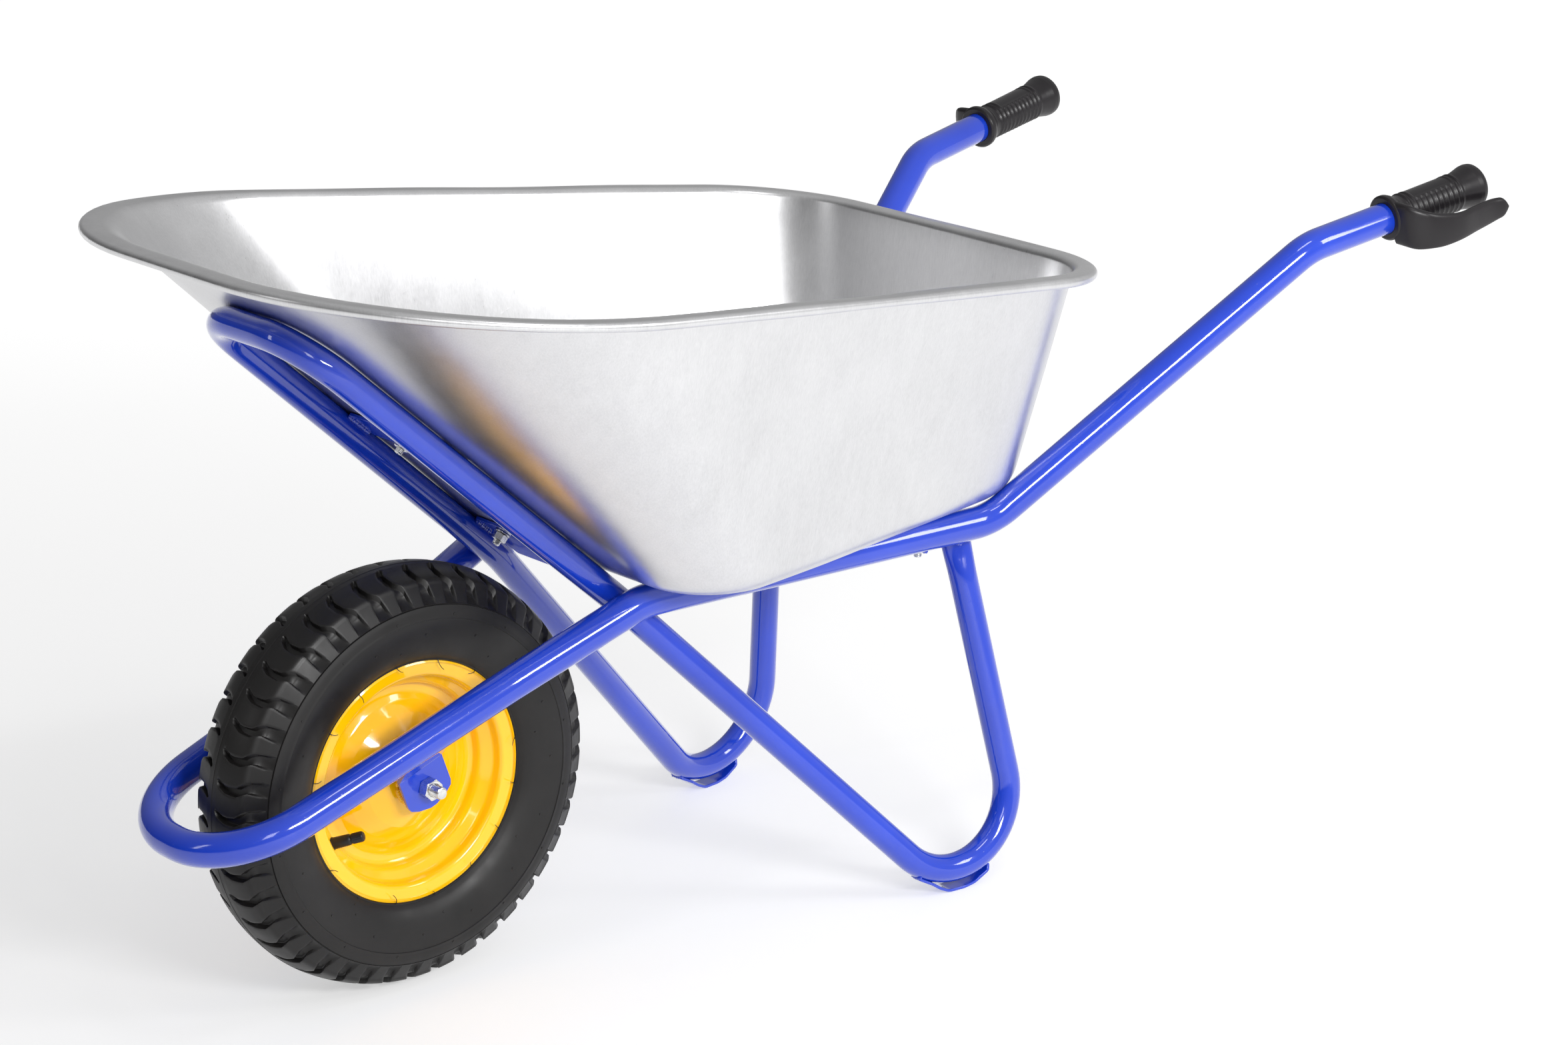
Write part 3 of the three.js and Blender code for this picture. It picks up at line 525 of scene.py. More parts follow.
pair("skid", skid_shape(), BLUE, "frame", ["foot_skid"], bevel=0.7)


def seam(name, path, radius, seed):
    """A pair of weld beads on the frame."""
    pair(name, weld(path, radius, seed), BLUE, "frame")


# Across each end of the strip, where it meets the underside of the foot bend.
for end, x, z, seed in (("rear", -37.6, 16.2, 3), ("front", 44.5, 20.6, 4)):
    seam("skid_weld_" + end, [on_skid(x, w, z + 0.035 * w * w) for w in np.linspace(-8.5, 8.5, 9)], 2.5, seed)

RISE = math.atan2(HOOP[2] - CROSSING[2], HOOP[0] - CROSSING[0])
ALONG = AHEAD * math.cos(RISE) + UP * math.sin(RISE)
INTO_PAN = np.cross(ALONG, ACROSS)


def on_hoop(along, y=0.0):
    """Local axes and origin of something on the plane of the hoop's two tubes."""
    return ALONG, ACROSS, INTO_PAN, np.array([CROSSING[0], y, CROSSING[2]]) + ALONG * along


def plate_outline(x, y, corner=4.0):
    """A rectangle of half sizes x and y, with rounded corners."""
    return rounded([(0, -y), (x, -y), (x, y), (-x, y), (-x, -y), (0, -y)], [corner] * 4, 4)[:-1]


FLOOR_SLOPE = -0.0175
FLOOR_AT_AXLE = 367.9
SHEET_THICKNESS = 1.2
FLOOR_X = unit([1.0, 0.0, FLOOR_SLOPE])
FLOOR_Z = np.cross(FLOOR_X, ACROSS)


def floor_z(x):
    return FLOOR_AT_AXLE + FLOOR_SLOPE * x


def on_floor(x, y=0.0):
    return FLOOR_X, ACROSS, FLOOR_Z, np.array([x, y, floor_z(x) - SHEET_THICKNESS / 2])


PLATE_BOTTOM, PLATE_TOP = 10.0, 13.0
FRONT_PLATE_ALONG, HOOP_PLATE_ALONG = 25.0, 235.0
STRAP_X, STRAP_TOP, STRAP_BOTTOM = -536.0, -32.8, -36.8
BOLT_ALONG, BOLT_Y, STRAP_BOLT_Y = 46.0, 45.0, 128.0

piece("plate_front", slab(plate_outline(34, 76.5), PLATE_BOTTOM, PLATE_TOP, on_hoop(FRONT_PLATE_ALONG)),
      BLUE, "frame", ["front_cross_plate"], bevel=0.6)
piece("plate_hoop", slab(plate_outline(18, 71), PLATE_BOTTOM, PLATE_TOP, on_hoop(HOOP_PLATE_ALONG)),
      BLUE, "frame", ["hoop_cross_plate"], bevel=0.6)
piece("strap_rear", slab(plate_outline(20, 146, 6), STRAP_BOTTOM, STRAP_TOP, on_floor(STRAP_X)),
      BLUE, "frame", ["rear_cross_strap"], bevel=0.8)


def beside_hoop_tube(along):
    """Where the edge of a plate meets the inner side of the hoop's left tube."""
    tube_y = CROSSING[1] + (HOOP[1] - CROSSING[1]) * along / np.linalg.norm(HOOP - CROSSING)
    x, y, z, origin = on_hoop(along)
    return origin + y * (tube_y - 11.8) + z * 9.4


for plate, middle, half, seed in (("front", 34, 22, 5), ("hoop", HOOP_PLATE_ALONG, 16, 6)):
    path = [beside_hoop_tube(a) for a in np.linspace(middle - half, middle + half, 9)]
    seam("weld_plate_" + plate, path, 2.5, seed)

# Along the strap's two long edges, under the main tube.
for edge, x, seed in (("rear", STRAP_X - 20.5, 8), ("front", STRAP_X + 20.5, 9)):
    y = np.interp(x, *np.transpose([REAR_BEND, FRONT_BEND])[:2])
    z = floor_z(x) + STRAP_TOP - 0.4
    seam("weld_strap_" + edge, [(x, y + w, z + 0.02 * w * w) for w in np.linspace(-7, 7, 7)], 2.2, seed)


def leg_top_path():
    """Round the inner and front side of the leg where it meets the underside of the main tube."""
    path = []
    for angle in np.linspace(-1.9, 1.9, 15):
        x, inward = math.sin(angle), math.cos(angle)
        path.append((-577.5 + 13.2 * x, 150.5 - 2.4 * inward, 347.5 - 3.2 * inward))
    return path


seam("weld_leg_top", leg_top_path(), 2.3, 11)
# Where the diagonal passes inside the main tube's front bend.
crossing_path = [(-190 + t * 0.9, 106 - t * 0.06, 352.5 + t * 0.12) for t in np.linspace(-16, 16, 9)]
seam("weld_crossing", crossing_path, 3.0, 12)

# ---- axle brackets ----
ARM_SLOPE = math.radians(19.6)
ARM_X = AHEAD * math.cos(ARM_SLOPE) - UP * math.sin(ARM_SLOPE)
ARM_Z = np.cross(ARM_X, ACROSS)
BRACKET_Y, BRACKET_THICKNESS, BRACKET_HALF = 48.3, 3.5, 25.5
FOLD, FOLD_RADIUS, LIP, LIP_ANGLE = 22.0, 6.0, 54.0, math.radians(47)


def bracket_shape():
    """The plate beside the hub, a rounded fold, and the lip that runs out to the arm and back along it."""
    lip_direction = np.array([math.sin(LIP_ANGLE), math.cos(LIP_ANGLE)])
    spine = [np.array([0.0, h]) for h in (-21, *np.linspace(-17, FOLD - FOLD_RADIUS, 8))]
    for k in range(1, 7):
        a = LIP_ANGLE * k / 7
        spine.append(np.array([FOLD_RADIUS * (1 - math.cos(a)), FOLD - 2.6 + FOLD_RADIUS * math.sin(a)]))
    spine += [np.array([0.0, FOLD]) + lip_direction * t for t in (7, 16, 25, 33, 38, 41, 47, LIP)]
    loop = []
    for (y, h), out in zip(spine, -to_the_left(spine)):
        if y > 0.01:
            front, past_fold = BRACKET_HALF, math.hypot(y, h - FOLD)
            rear = float(np.interp(past_fold, [LIP - 21, LIP - 13, LIP], [-BRACKET_HALF, -53, -57]))
        else:
            rounding = max(0.0, -h - 11.0) / 10.0
            front = BRACKET_HALF * math.sqrt(max(0.02, 1 - rounding))
            rear = -front
        middle = AXLE_CENTRE + ARM_Z * h + ACROSS * (BRACKET_Y + y)
        inner = np.array([middle + ARM_X * a for a in np.linspace(rear, front, 15)])
        outer = inner + (ACROSS * out[0] + ARM_Z * out[1]) * BRACKET_THICKNESS
        loop.append(np.concatenate([inner, outer[::-1]]))
    return Shape().bar(loop)


pair("bracket", bracket_shape(), BLUE, "frame", ["axle_bracket"], bevel=0.6)

# Along the underside of the arm, where the lip runs.
bracket_path = [AXLE_CENTRE + ARM_X * a + ACROSS * (87.4 - 0.057 * a) + ARM_Z * 58.8
                for a in np.linspace(-54, 23, 14)]
seam("weld_bracket", bracket_path, 2.8, 13)

# ---- the pan ----
RIM_SLOPE, RIM_AT_AXLE, CURL_RADIUS, CURL_TURN = 0.117, 685.6, 4.0, 4.6
WALL_TO_HOOP = LEG_RADIUS + 0.4 + SHEET_THICKNESS / 2
WALL_X = CROSSING[0] - WALL_TO_HOOP * math.sin(RISE)
WALL_Z = CROSSING[2] + WALL_TO_HOOP * math.cos(RISE)


def rim_z(x):
    return RIM_AT_AXLE + RIM_SLOPE * x


def flange_z(x):
    return rim_z(x) + CURL_RADIUS


def front_wall_at(height, slope):
    tan = math.tan(RISE)
    return (height - WALL_Z + WALL_X * tan) / (tan - slope)


FLOOR_FRONT = front_wall_at(FLOOR_AT_AXLE, FLOOR_SLOPE)
EDGE = "front rear front_half rear_half front_radius rear_radius front_bow side_bow rear_bow"
Edge = namedtuple("Edge", EDGE)
FLOOR_EDGE = Edge(FLOOR_FRONT, -652, 232, 166, 68, 70, 0, 2, 3)
FLOOR_FLAT = Edge(FLOOR_FRONT - 18, -626, 206, 140, 55, 57, 0, 2, 3)
WALL_TOP = Edge(front_wall_at(RIM_AT_AXLE + CURL_RADIUS, RIM_SLOPE) - 8, -684, 333, 237, 236, 108, 8, 5, 5)
CURL_CENTRE = Edge(205.4, -701.7, 351, 253.7, 249, 125, 10.6, 5, 5)


def outline(edge):
    """A rounded trapezium with slightly bowed sides, anticlockwise from the middle of the front."""
    front, rear, front_half, rear_half = edge[:4]
    corners = ((front, 0.0), (front, front_half), (rear, rear_half), (rear, 0.0))
    front_mid, front_corner, rear_corner, rear_mid = (np.array(p) for p in corners)
    front_arc = arc(front_mid, front_corner, rear_corner, edge.front_radius, 20)[0]
    rear_arc = arc(front_corner, rear_corner, rear_mid, edge.rear_radius, 20)[0]

    def between(a, b, count):
        return [a + (b - a) * k / count for k in range(1, count)]

    half = [front_mid, *between(front_mid, front_arc[0], 14), *front_arc,
            *between(front_arc[-1], rear_arc[0], 26), *rear_arc,
            *between(rear_arc[-1], rear_mid, 14), rear_mid]
    bowed = []
    for x, y in half:
        along = (2 * x - front - rear) / (front - rear)
        half_width = rear_half + (front_half - rear_half) * (along + 1) / 2
        end_bow = edge.front_bow if along > 0 else -edge.rear_bow
        side_bow = edge.side_bow * max(0, 1 - along ** 2)
        bowed.append((x + end_bow * max(0, 1 - (y / half_width) ** 2), y + side_bow if y > 1e-6 else 0.0))
    return np.array(bowed + [(x, -y) for x, y in reversed(bowed[1:-1])])


def lift(points, height):
    return np.column_stack([points, height(points[:, 0])])


def mix(a, b, t):
    return a + (b - a) * t


def bezier(a, b, c, t):
    return mix(mix(a, b, t), mix(b, c, t), t)


FLAT_STEPS = (0.08, 0.3, 0.55, 0.78, 0.93, 1.0)
FLAT_RINGS = len(FLAT_STEPS)


def pan_rings():
    """Rings from the middle of the floor, over its bend, the wall and the flange, to the end of the curl."""
    flat, foot = lift(outline(FLOOR_FLAT), floor_z), lift(outline(FLOOR_EDGE), floor_z)
    top, curl = lift(outline(WALL_TOP), flange_z), lift(outline(CURL_CENTRE), rim_z)
    up = unit([-RIM_SLOPE, 0, 1])
    tangent = np.roll(curl, -1, 0) - np.roll(curl, 1, 0)
    out = np.cross(tangent, up)
    out /= np.linalg.norm(out, axis=1)[:, None]
    centre = flat.mean(0)
    centre[2] = floor_z(centre[0])
    reach = np.linalg.norm(foot - flat, axis=1)[:, None]
    wall = top - foot
    wall_start = foot + wall / np.linalg.norm(wall, axis=1)[:, None] * reach
    wall_end = mix(foot, top, 0.975)
    flange_end = curl + up * CURL_RADIUS
    flange_start = mix(top, flange_end, 0.35)
    rings = [mix(centre, flat, t) for t in FLAT_STEPS]
    rings += [bezier(flat, foot, wall_start, t) for t in np.linspace(0, 1, 11)[1:]]
    rings += [mix(wall_start, wall_end, t) for t in np.linspace(0, 1, 13)[1:]]
    rings += [bezier(wall_end, top, flange_start, t) for t in np.linspace(0, 1, 7)[1:]]
    rings += [mix(flange_start, flange_end, t) for t in (0.5, 1.0)]
    rings += [curl + (up * math.cos(a) + out * math.sin(a)) * CURL_RADIUS
              for a in np.linspace(0, CURL_TURN, 17)[1:]]
    return np.array(rings)


def pan_shape():
    rings = pan_rings()
    normals = np.cross(np.gradient(rings, axis=0), np.roll(rings, -1, 1) - np.roll(rings, 1, 1))
    normals /= np.linalg.norm(normals, axis=2)[:, :, None]
    normals[:FLAT_RINGS] = FLOOR_Z
    # The pressing is never quite true: the walls and the floor wander by a few tenths of a millimetre.
    x, y, z = rings[:, :, 0], rings[:, :, 1], rings[:, :, 2]
    flex = 0.45 * np.sin(x / 61 + 1.3) * np.sin(z / 47 + y / 90) + 0.3 * np.sin(x / 33 + z / 71 + y / 52)
    flex *= np.sin(math.pi * np.linspace(0, 1, len(rings))[:, None]) ** 0.5
    rings = rings + normals * flex[:, :, None]
    inner, outer = rings + normals * SHEET_THICKNESS / 2, rings - normals * SHEET_THICKNESS / 2
    shape = Shape().grid(list(outer) + list(inner[::-1]))
    return shape.cap(outer[0], flip=True).cap(inner[0])


piece("pan", pan_shape(), SHEET, "frame", ["tray"], sharp=60)


# ---- small hardware ----
def spoke(matrix, angle, r, h):
    """The point at a radius, an angle and a height round local Z."""
    x, y, z, origin = matrix
    return origin + (x * math.cos(angle) + y * math.sin(angle)) * r + z * h


def turned_on(matrix, profile, sides=32):
    """A profile [radius, height] turned about local Z."""
    return [[spoke(matrix, a, max(r, 1e-3), h) for a in full_turn(sides)] for r, h in profile]


def solid_of_revolution(matrix, profile, sides=32):
    return Shape().bar(turned_on(matrix, profile, sides))


def ring_of_revolution(matrix, profile, sides=32):
    return Shape().grid(turned_on(matrix, profile, sides), closed=True)


def nut(matrix, corner, low, high, bore, turn=0.0):
    """A hexagon nut: each end is chamfered to a circle, with flats in between."""
    angles = full_turn(48)
    flat = corner * math.cos(math.pi / 6)
    hexagon = flat / np.cos(angles % (math.pi / 3) - math.pi / 6)
    drop = (hexagon - flat) * 0.55
    circle = np.ones(len(angles))
    edges = [(bore * circle, (low + 0.6) * circle), ((bore + 0.6) * circle, low * circle),
             ((flat - 0.5) * circle, low * circle), (hexagon, low + 0.15 + drop)]
    edges += [(hexagon, high - 0.15 - drop), ((flat - 0.5) * circle, high * circle),
              ((bore + 0.6) * circle, high * circle), (bore * circle, (high - 0.6) * circle)]
    rows = [[spoke(matrix, turn + a, r, h) for a, r, h in zip(angles, radii, heights)]
            for radii, heights in edges]
    return Shape().grid(rows, closed=True)


def threaded(matrix, radius, low, high, pitch, depth, tip=0.8, sides=28):
    """A threaded shank: the crest winds round the bar, so that each ring is turned on a little."""
    steps = max(2, int((high - low) / pitch * 6))
    rings = []
    for h in np.linspace(low, high, steps + 1):
        taper = max(0.0, tip - (high - h)) * 0.9
        crests = [abs(2 * ((h / pitch - k / sides) % 1.0) - 1) for k in range(sides)]
        rings.append([spoke(matrix, a, radius - depth * crest - taper, h)
                      for a, crest in zip(full_turn(sides), crests)])
    return Shape().bar(rings)


GAP = 0.3
HEAD_ON_WALL = WALL_TO_HOOP + SHEET_THICKNESS / 2 + GAP
HEAD_ON_FLOOR = SHEET_THICKNESS + GAP
BOLT_RADIUS, WASHER_THICKNESS, NUT_HEIGHT, BOLT_PROUD = 4.0, 1.6, 6.5, 5.0
BOLTS = (
    ("front_left", on_hoop(BOLT_ALONG, BOLT_Y), HEAD_ON_WALL, PLATE_BOTTOM),
    ("front_right", on_hoop(BOLT_ALONG, -BOLT_Y), HEAD_ON_WALL, PLATE_BOTTOM),
    ("hoop", on_hoop(HOOP_PLATE_ALONG), HEAD_ON_WALL, PLATE_BOTTOM),
    ("rear_left", on_floor(STRAP_X, STRAP_BOLT_Y), HEAD_ON_FLOOR, STRAP_BOTTOM),
    ("rear_right", on_floor(STRAP_X, -STRAP_BOLT_Y), HEAD_ON_FLOOR, STRAP_BOTTOM),
)

for where, matrix, head, under in BOLTS:
    dome = [(9.5 * math.cos(a), head + 0.9 + 3.7 * math.sin(a)) for a in np.linspace(0, math.pi / 2, 9)[:-1]]
    profile = [(BOLT_RADIUS, head - 1.0), (BOLT_RADIUS, head), (9.3, head), (9.5, head + 0.4), *dome,
               (0.3, head + 4.6)]
    piece("coach_head_" + where, solid_of_revolution(matrix, profile), PLATED, "frame")
    washer_high = under - GAP
    washer_low = washer_high - WASHER_THICKNESS
    nut_high = washer_low - GAP
    nut_low = nut_high - NUT_HEIGHT
    x, y, z, origin = matrix
    shank = threaded((x, -y, -z, origin), BOLT_RADIUS, 0.8 - head, BOLT_PROUD - nut_low, 1.25, 0.5)
    piece("coach_bolt_" + where, shank, PLATED, "frame", ["tray_bolt_" + where])
    rim = [(7.8, washer_low), (8.0, washer_low + 0.3), (8.0, washer_high - 0.3), (7.8, washer_high)]
    washer = ring_of_revolution(matrix, [(4.4, washer_low), *rim, (4.4, washer_high)])
    piece("washer_" + where, washer, PLATED, "frame", ["tray_washer_" + where])
    hexagon = nut(matrix, 7.5, nut_low, nut_high, 4.3, turn=random.uniform(0, 1))
    piece("nut_" + where, hexagon, PLATED, "frame", ["tray_nut_" + where], sharp=25)

# ---- axle, spacers and bearings ----
ON_AXLE = (AHEAD, -UP, ACROSS, AXLE_CENTRE)
AXLE_RADIUS, NUT_CORNER = 6.0, 10.4
NUT_FACE = BRACKET_Y + BRACKET_THICKNESS + GAP

axle_thread = threaded(ON_AXLE, AXLE_RADIUS, 50.0, 75.0, 1.75, 0.7, tip=1.2, sides=40)
piece("axle_shank", axle_thread, PLATED, "frame")
axle_profile = [(4.0, -54.0), (AXLE_RADIUS, -54.0), (AXLE_RADIUS, 51.0), (4.0, 51.0)]
piece("axle_bar", solid_of_revolution(ON_AXLE, axle_profile), PLATED, "frame", ["axle_bolt"])
piece("axle_head", nut(ON_AXLE, NUT_CORNER, -NUT_FACE - 7.5, -NUT_FACE, 1.0), PLATED, "frame", sharp=25)
lock_nut = nut(ON_AXLE, NUT_CORNER, NUT_FACE, NUT_FACE + 10.8, AXLE_RADIUS + 0.1, turn=0.26)
piece("axle_lock_nut", lock_nut, PLATED, "frame", ["axle_nut"], sharp=25)


def axle_ring(profile, side=1):
    """A ring of profile [radius, y] about the axle; side is -1 for the mirror image."""
    return ring_of_revolution(ON_AXLE, [(r, y * side) for r, y in profile], 64)


SIDE_SPACER = [(6.3, 38.6), (9.6, 38.6), (10.0, 39.0), (10.0, 47.6), (9.6, 48.0), (6.3, 48.0)]
INNER_RACE = [(6.3, 28.0), (8.6, 28.0), (8.8, 28.3), (8.8, 30.8), (8.5, 33.0), (8.8, 35.2), (8.8, 37.7),
              (8.6, 38.0), (6.3, 38.0)]
OUTER_RACE = [(15.7, 28.3), (15.4, 28.0), (13.2, 28.0), (13.0, 28.3), (13.0, 30.8), (13.4, 33.0),
              (13.0, 35.2), (13.0, 37.7), (13.2, 38.0), (15.4, 38.0), (15.7, 37.7)]
CAGE = [(10.2, 32.0), (11.6, 32.0), (11.6, 34.0), (10.2, 34.0)]
CENTRE_SPACER = [(6.3, -27.7), (8.6, -27.7), (8.6, 27.7), (6.3, 27.7)]
HUB = [(16.0, -39.4), (16.6, -40), (19.4, -40), (20.0, -39.4), (20.0, 39.4), (19.4, 40), (16.6, 40),
       (16.0, 39.4)]
BALL_RADIUS, BALL_TRACK, BALL_COUNT, BEARING_Y = 1.8, 10.9, 7, 33.0


def ball_cage(side):
    shape = axle_ring(CAGE, side)
    ball = [(BALL_RADIUS * math.sin(t), -BALL_RADIUS * math.cos(t))
            for t in np.linspace(0.02, math.pi - 0.02, 11)]
    for a in full_turn(BALL_COUNT):
        outward = AHEAD * math.sin(a) + UP * math.cos(a)
        centre = AXLE_CENTRE + outward * BALL_TRACK + ACROSS * BEARING_Y * side
        shape.grid(turned_on((AHEAD, UP, ACROSS, centre), ball, 16))
    return shape


for side_name, side in (("left", 1), ("right", -1)):
    for name, shape, finish, body, node in (
            ("spacer_", axle_ring(SIDE_SPACER, side), PLATED, "frame", "side_spacer_"),
            ("race_inner_", axle_ring(INNER_RACE, side), BEARING, "frame", "bearing_inner_race_"),
            ("race_outer_", axle_ring(OUTER_RACE, side), BEARING, "wheel", "bearing_outer_race_"),
            ("ball_cage_", ball_cage(side), BEARING, "wheel", "bearing_balls_")):
        piece(name + side_name, shape, finish, body, [node + side_name])

piece("spacer_centre", axle_ring(CENTRE_SPACER), PLATED, "frame", ["centre_spacer"])
piece("hub_tube", axle_ring(HUB), YELLOW, "wheel", ["hub"])

# ---- rim halves ----
RIM_LINE = [(20.6, 33.0), (30, 31.1), (45.5, 23), (60.5, 13), (70.5, 5.1), (78, 1.5), (84, 1.4), (88.2, 3.6),
            (89.2, 12.4), (99.6, 20.8), (100.2, 28.7), (102.2, 31.6), (113.0, 32.1), (114.2, 34.6)]
RIM_BENDS = [16, 9, 9, 14, 10, 6, 4, 9, 7, 4, 5, 3.0]
RIM_SHEET = 2.0
HUB_WELD_RADIUS, HUB_WELD_Y = 21.3, 34.6


def rim_half(side):
    line = rounded(RIM_LINE, RIM_BENDS, 7)
    half_sheet = to_the_left(line) * RIM_SHEET / 2
    profile = np.concatenate([line + half_sheet, (line - half_sheet)[::-1]])
    return ring_of_revolution(ON_AXLE, [(r, y * side) for r, y in profile], 160)


def around(r, y, angle):
    """The point at a radius round the axle; angles run from straight ahead, upwards."""
    return AXLE_CENTRE + (AHEAD * math.cos(angle) + UP * math.sin(angle)) * r + ACROSS * y


def hub_weld(side, seed):
    turn = np.linspace(0, 2 * math.pi, 60)
    return weld([around(HUB_WELD_RADIUS, side * HUB_WELD_Y, a) for a in turn], 2.0, seed)


for side_name, side in (("left", 1), ("right", -1)):
    piece("wheel_disc_" + side_name, rim_half(side), YELLOW, "wheel", ["rim_half_" + side_name], sharp=50)
piece("hub_weld_left", hub_weld(1, 21), YELLOW, "wheel")
piece("hub_weld_right", hub_weld(-1, 22), YELLOW, "wheel")

# ---- valve ----
VALVE_ANGLE = math.radians(28.5)
OUTWARD = AHEAD * math.cos(VALVE_ANGLE) - UP * math.sin(VALVE_ANGLE)
VALVE_AXIS = unit(OUTWARD * -0.66 + ACROSS * 0.75)
VALVE_X = unit(np.cross(OUTWARD, VALVE_AXIS))
VALVE_ORIGIN = around(94.4, 15, -VALVE_ANGLE)
VALVE = (VALVE_X, np.cross(VALVE_AXIS, VALVE_X), VALVE_AXIS, VALVE_ORIGIN)
STEM = [(0.2, -7.5), (5.6, -7.5), (5.6, -1.2), (6.6, -0.4), (7.0, 0.9), (6.6, 1.9), (5.8, 2.8), (5.5, 4.5),
        (5.45, 12), (5.3, 18.5), (4.9, 20.2), (3.9, 21.2), (3.7, 21.6), (3.7, 31.0), (0.2, 31.0)]
CAP = [(4.2, 22.0), (4.8, 22.0), (5.0, 22.3), (5.0, 23.4), (4.75, 23.8), (4.75, 31.4), (4.5, 32.5),
       (3.8, 33.2), (2.5, 33.5), (0.2, 33.5)]
CAP_SIDES, CAP_RIB, CAP_RIBS_FROM, CAP_RIBS_TO = 60, 0.25, 23.7, 31.5


def valve_cap():
    rings = []
    for r, h in CAP:
        rib = CAP_RIB if CAP_RIBS_FROM < h < CAP_RIBS_TO else 0.0
        rings.append([spoke(VALVE, a, r + (rib if k % 3 == 0 else 0.0), h)
                      for k, a in enumerate(full_turn(CAP_SIDES))])
    return Shape().bar(rings)


piece("valve_body", solid_of_revolution(VALVE, STEM, 40), TUBE_RUBBER, "wheel", ["valve_stem"])
piece("valve_dust_cap", valve_cap(), PLASTIC, "wheel", ["valve_cap"], sharp=24)

# ---- tyre ----
PITCHES = 44
PER_PITCH = 16
PITCH = 360.0 / PITCHES
FIRST_GROOVE = 61.4
RIGHT_SHIFT = 6
CROWN = [(0, 200.0), (5.5, 199.75), (8, 199.45), (16, 198.0), (24, 195.9), (31.5, 192.9), (34.6, 190.6),
         (36, 187.8)]
FACET_TOP, FACET_BOTTOM = (36.0, 187.8), (46.7, 171.8)
GROOVE_SHIFT = ([5.5, 8, 17, 28, 36], [0, -0.5, -1.8, -1.7, 0])
GROOVE_WIDTH = ([5.0, 6, 7.5, 10, 20, 28, 36], [0.2, 0.4, 0.9, 0.92, 1.0, 1.2, 1.55])
GROOVE_DEPTH = ([5.0, 5.6, 6.4, 7.6, 36], [0.0, 1.2, 4.0, 5.6, 5.8])
GROOVE_COLUMN = 4
LINE_RADIUS, LINE_PROUD = 159.6, 0.35
SIDEWALL = [(47.2, 170.6), (48.6, 166), (49.55, 160), (49.6, 154), (48.7, 147), (46.6, 138), (43.5, 129),
            (39.6, 122), (36.4, 118.2)]
INSIDE = [(35.4, 117.2), (35.6, 116.2), (34.0, 115.2), (30.4, 114.0), (29.9, 104.3), (28.2, 102), (22, 102),
          (22, 108), (26, 117), (39.5, 135), (43.2, 155), (40, 168), (28, 180), (0, 186)]
INSIDE_BENDS = [0.4, 0.8, 1, 2, 1.2, 2, 1, 3, 8, 14, 14, 12]


def smooth_line(points, count):
    """A Catmull-Rom curve through the points."""
    p = np.asarray(points, float)
    p = np.vstack([2 * p[0] - p[1], p, 2 * p[-1] - p[-2]])
    out = []
    for u in np.linspace(0, len(points) - 1, count):
        i = min(int(u), len(points) - 2)
        t = u - i
        a, b, c, d = p[i], p[i + 1], p[i + 2], p[i + 3]
        square, cube = 2 * a - 5 * b + 4 * c - d, 3 * b - a - 3 * c + d
        out.append(0.5 * (2 * b + (c - a) * t + square * t ** 2 + cube * t ** 3))
    return np.array(out)


def tread_row(y, r, width, depth, shift, sink):
    """One row of the left side: angles in degrees from the first column, and how far each column is sunk."""
    edge = 0.16 if depth > 0.3 else 0.0
    start = width + edge
    block = [start + (PITCH - 2 * start) * k / 8 for k in range(1, 8)]
    wall, foot = 0.82 * width, 0.68 * width
    offsets = np.array([-start, -width, -wall, -foot, 0, foot, wall, width, start, *block])
    lip, low = min(0.35, depth), depth - min(0.5, depth / 2)
    sunk = np.array([0, lip, low, depth, depth, depth, low, lip, 0, *[0] * 7])
    return offsets + shift, sunk, sink, y, r


def even_row(y, r):
    """A plain row: its columns are evenly spaced, and none is sunk."""
    offsets = (np.arange(PER_PITCH) - GROOVE_COLUMN) * PITCH / PER_PITCH
    return offsets, np.zeros(PER_PITCH), (0.0, -1.0), y, r


def half_tyre():
    """Rows of the left half, from the middle of the tread, down the outside and back up the inside."""
    crown = smooth_line(CROWN, 60)

    def crown_radius(y):
        return float(np.interp(y, crown[:, 0], crown[:, 1]))

    half = [even_row(y, r) for y, r in ((0.0, 200.35), (0.35, 200.3), (0.8, crown_radius(0.8)),
                                        (3.0, crown_radius(3.0)))]
    for y in (4.9, 5.3, 5.7, 6.2, 6.8, 7.5, 9, 12, 16, 20, 24, 28, 31, 33, 34.6, 35.5, 36):
        half.append(tread_row(y, crown_radius(y), np.interp(y, *GROOVE_WIDTH), np.interp(y, *GROOVE_DEPTH),
                              np.interp(y, *GROOVE_SHIFT), (0.0, -1.0)))
    for u in (0.06, 0.2, 0.4, 0.6, 0.8, 0.92, 1.0):
        y = FACET_TOP[0] + (FACET_BOTTOM[0] - FACET_TOP[0]) * u
        r = FACET_TOP[1] + (FACET_BOTTOM[1] - FACET_TOP[1]) * u
        depth = float(np.interp(u, [0, 0.5, 0.85, 1.0], [5.8, 3.4, 1.2, 0.0]))
        turn = min(1.0, u * 2)
        half.append(tread_row(y, r, 1.55 + 0.65 * u, depth, 0.0, (-0.828 * turn, -(1 - 0.44 * turn))))
    half += [even_row(46.2, 171.4), even_row(46.2, 171.0)]
    for y, r in smooth_line(SIDEWALL, 30):
        half.append(even_row(y + (LINE_PROUD if r > LINE_RADIUS else 0.0), r))
        if r > LINE_RADIUS > r - 2.0:
            half += [even_row(y + 0.75, 159.5), even_row(y + 0.75, 158.7), even_row(y - 0.05, 158.2)]
    return half + [even_row(y, r) for y, r in rounded(INSIDE, INSIDE_BENDS, 3)]


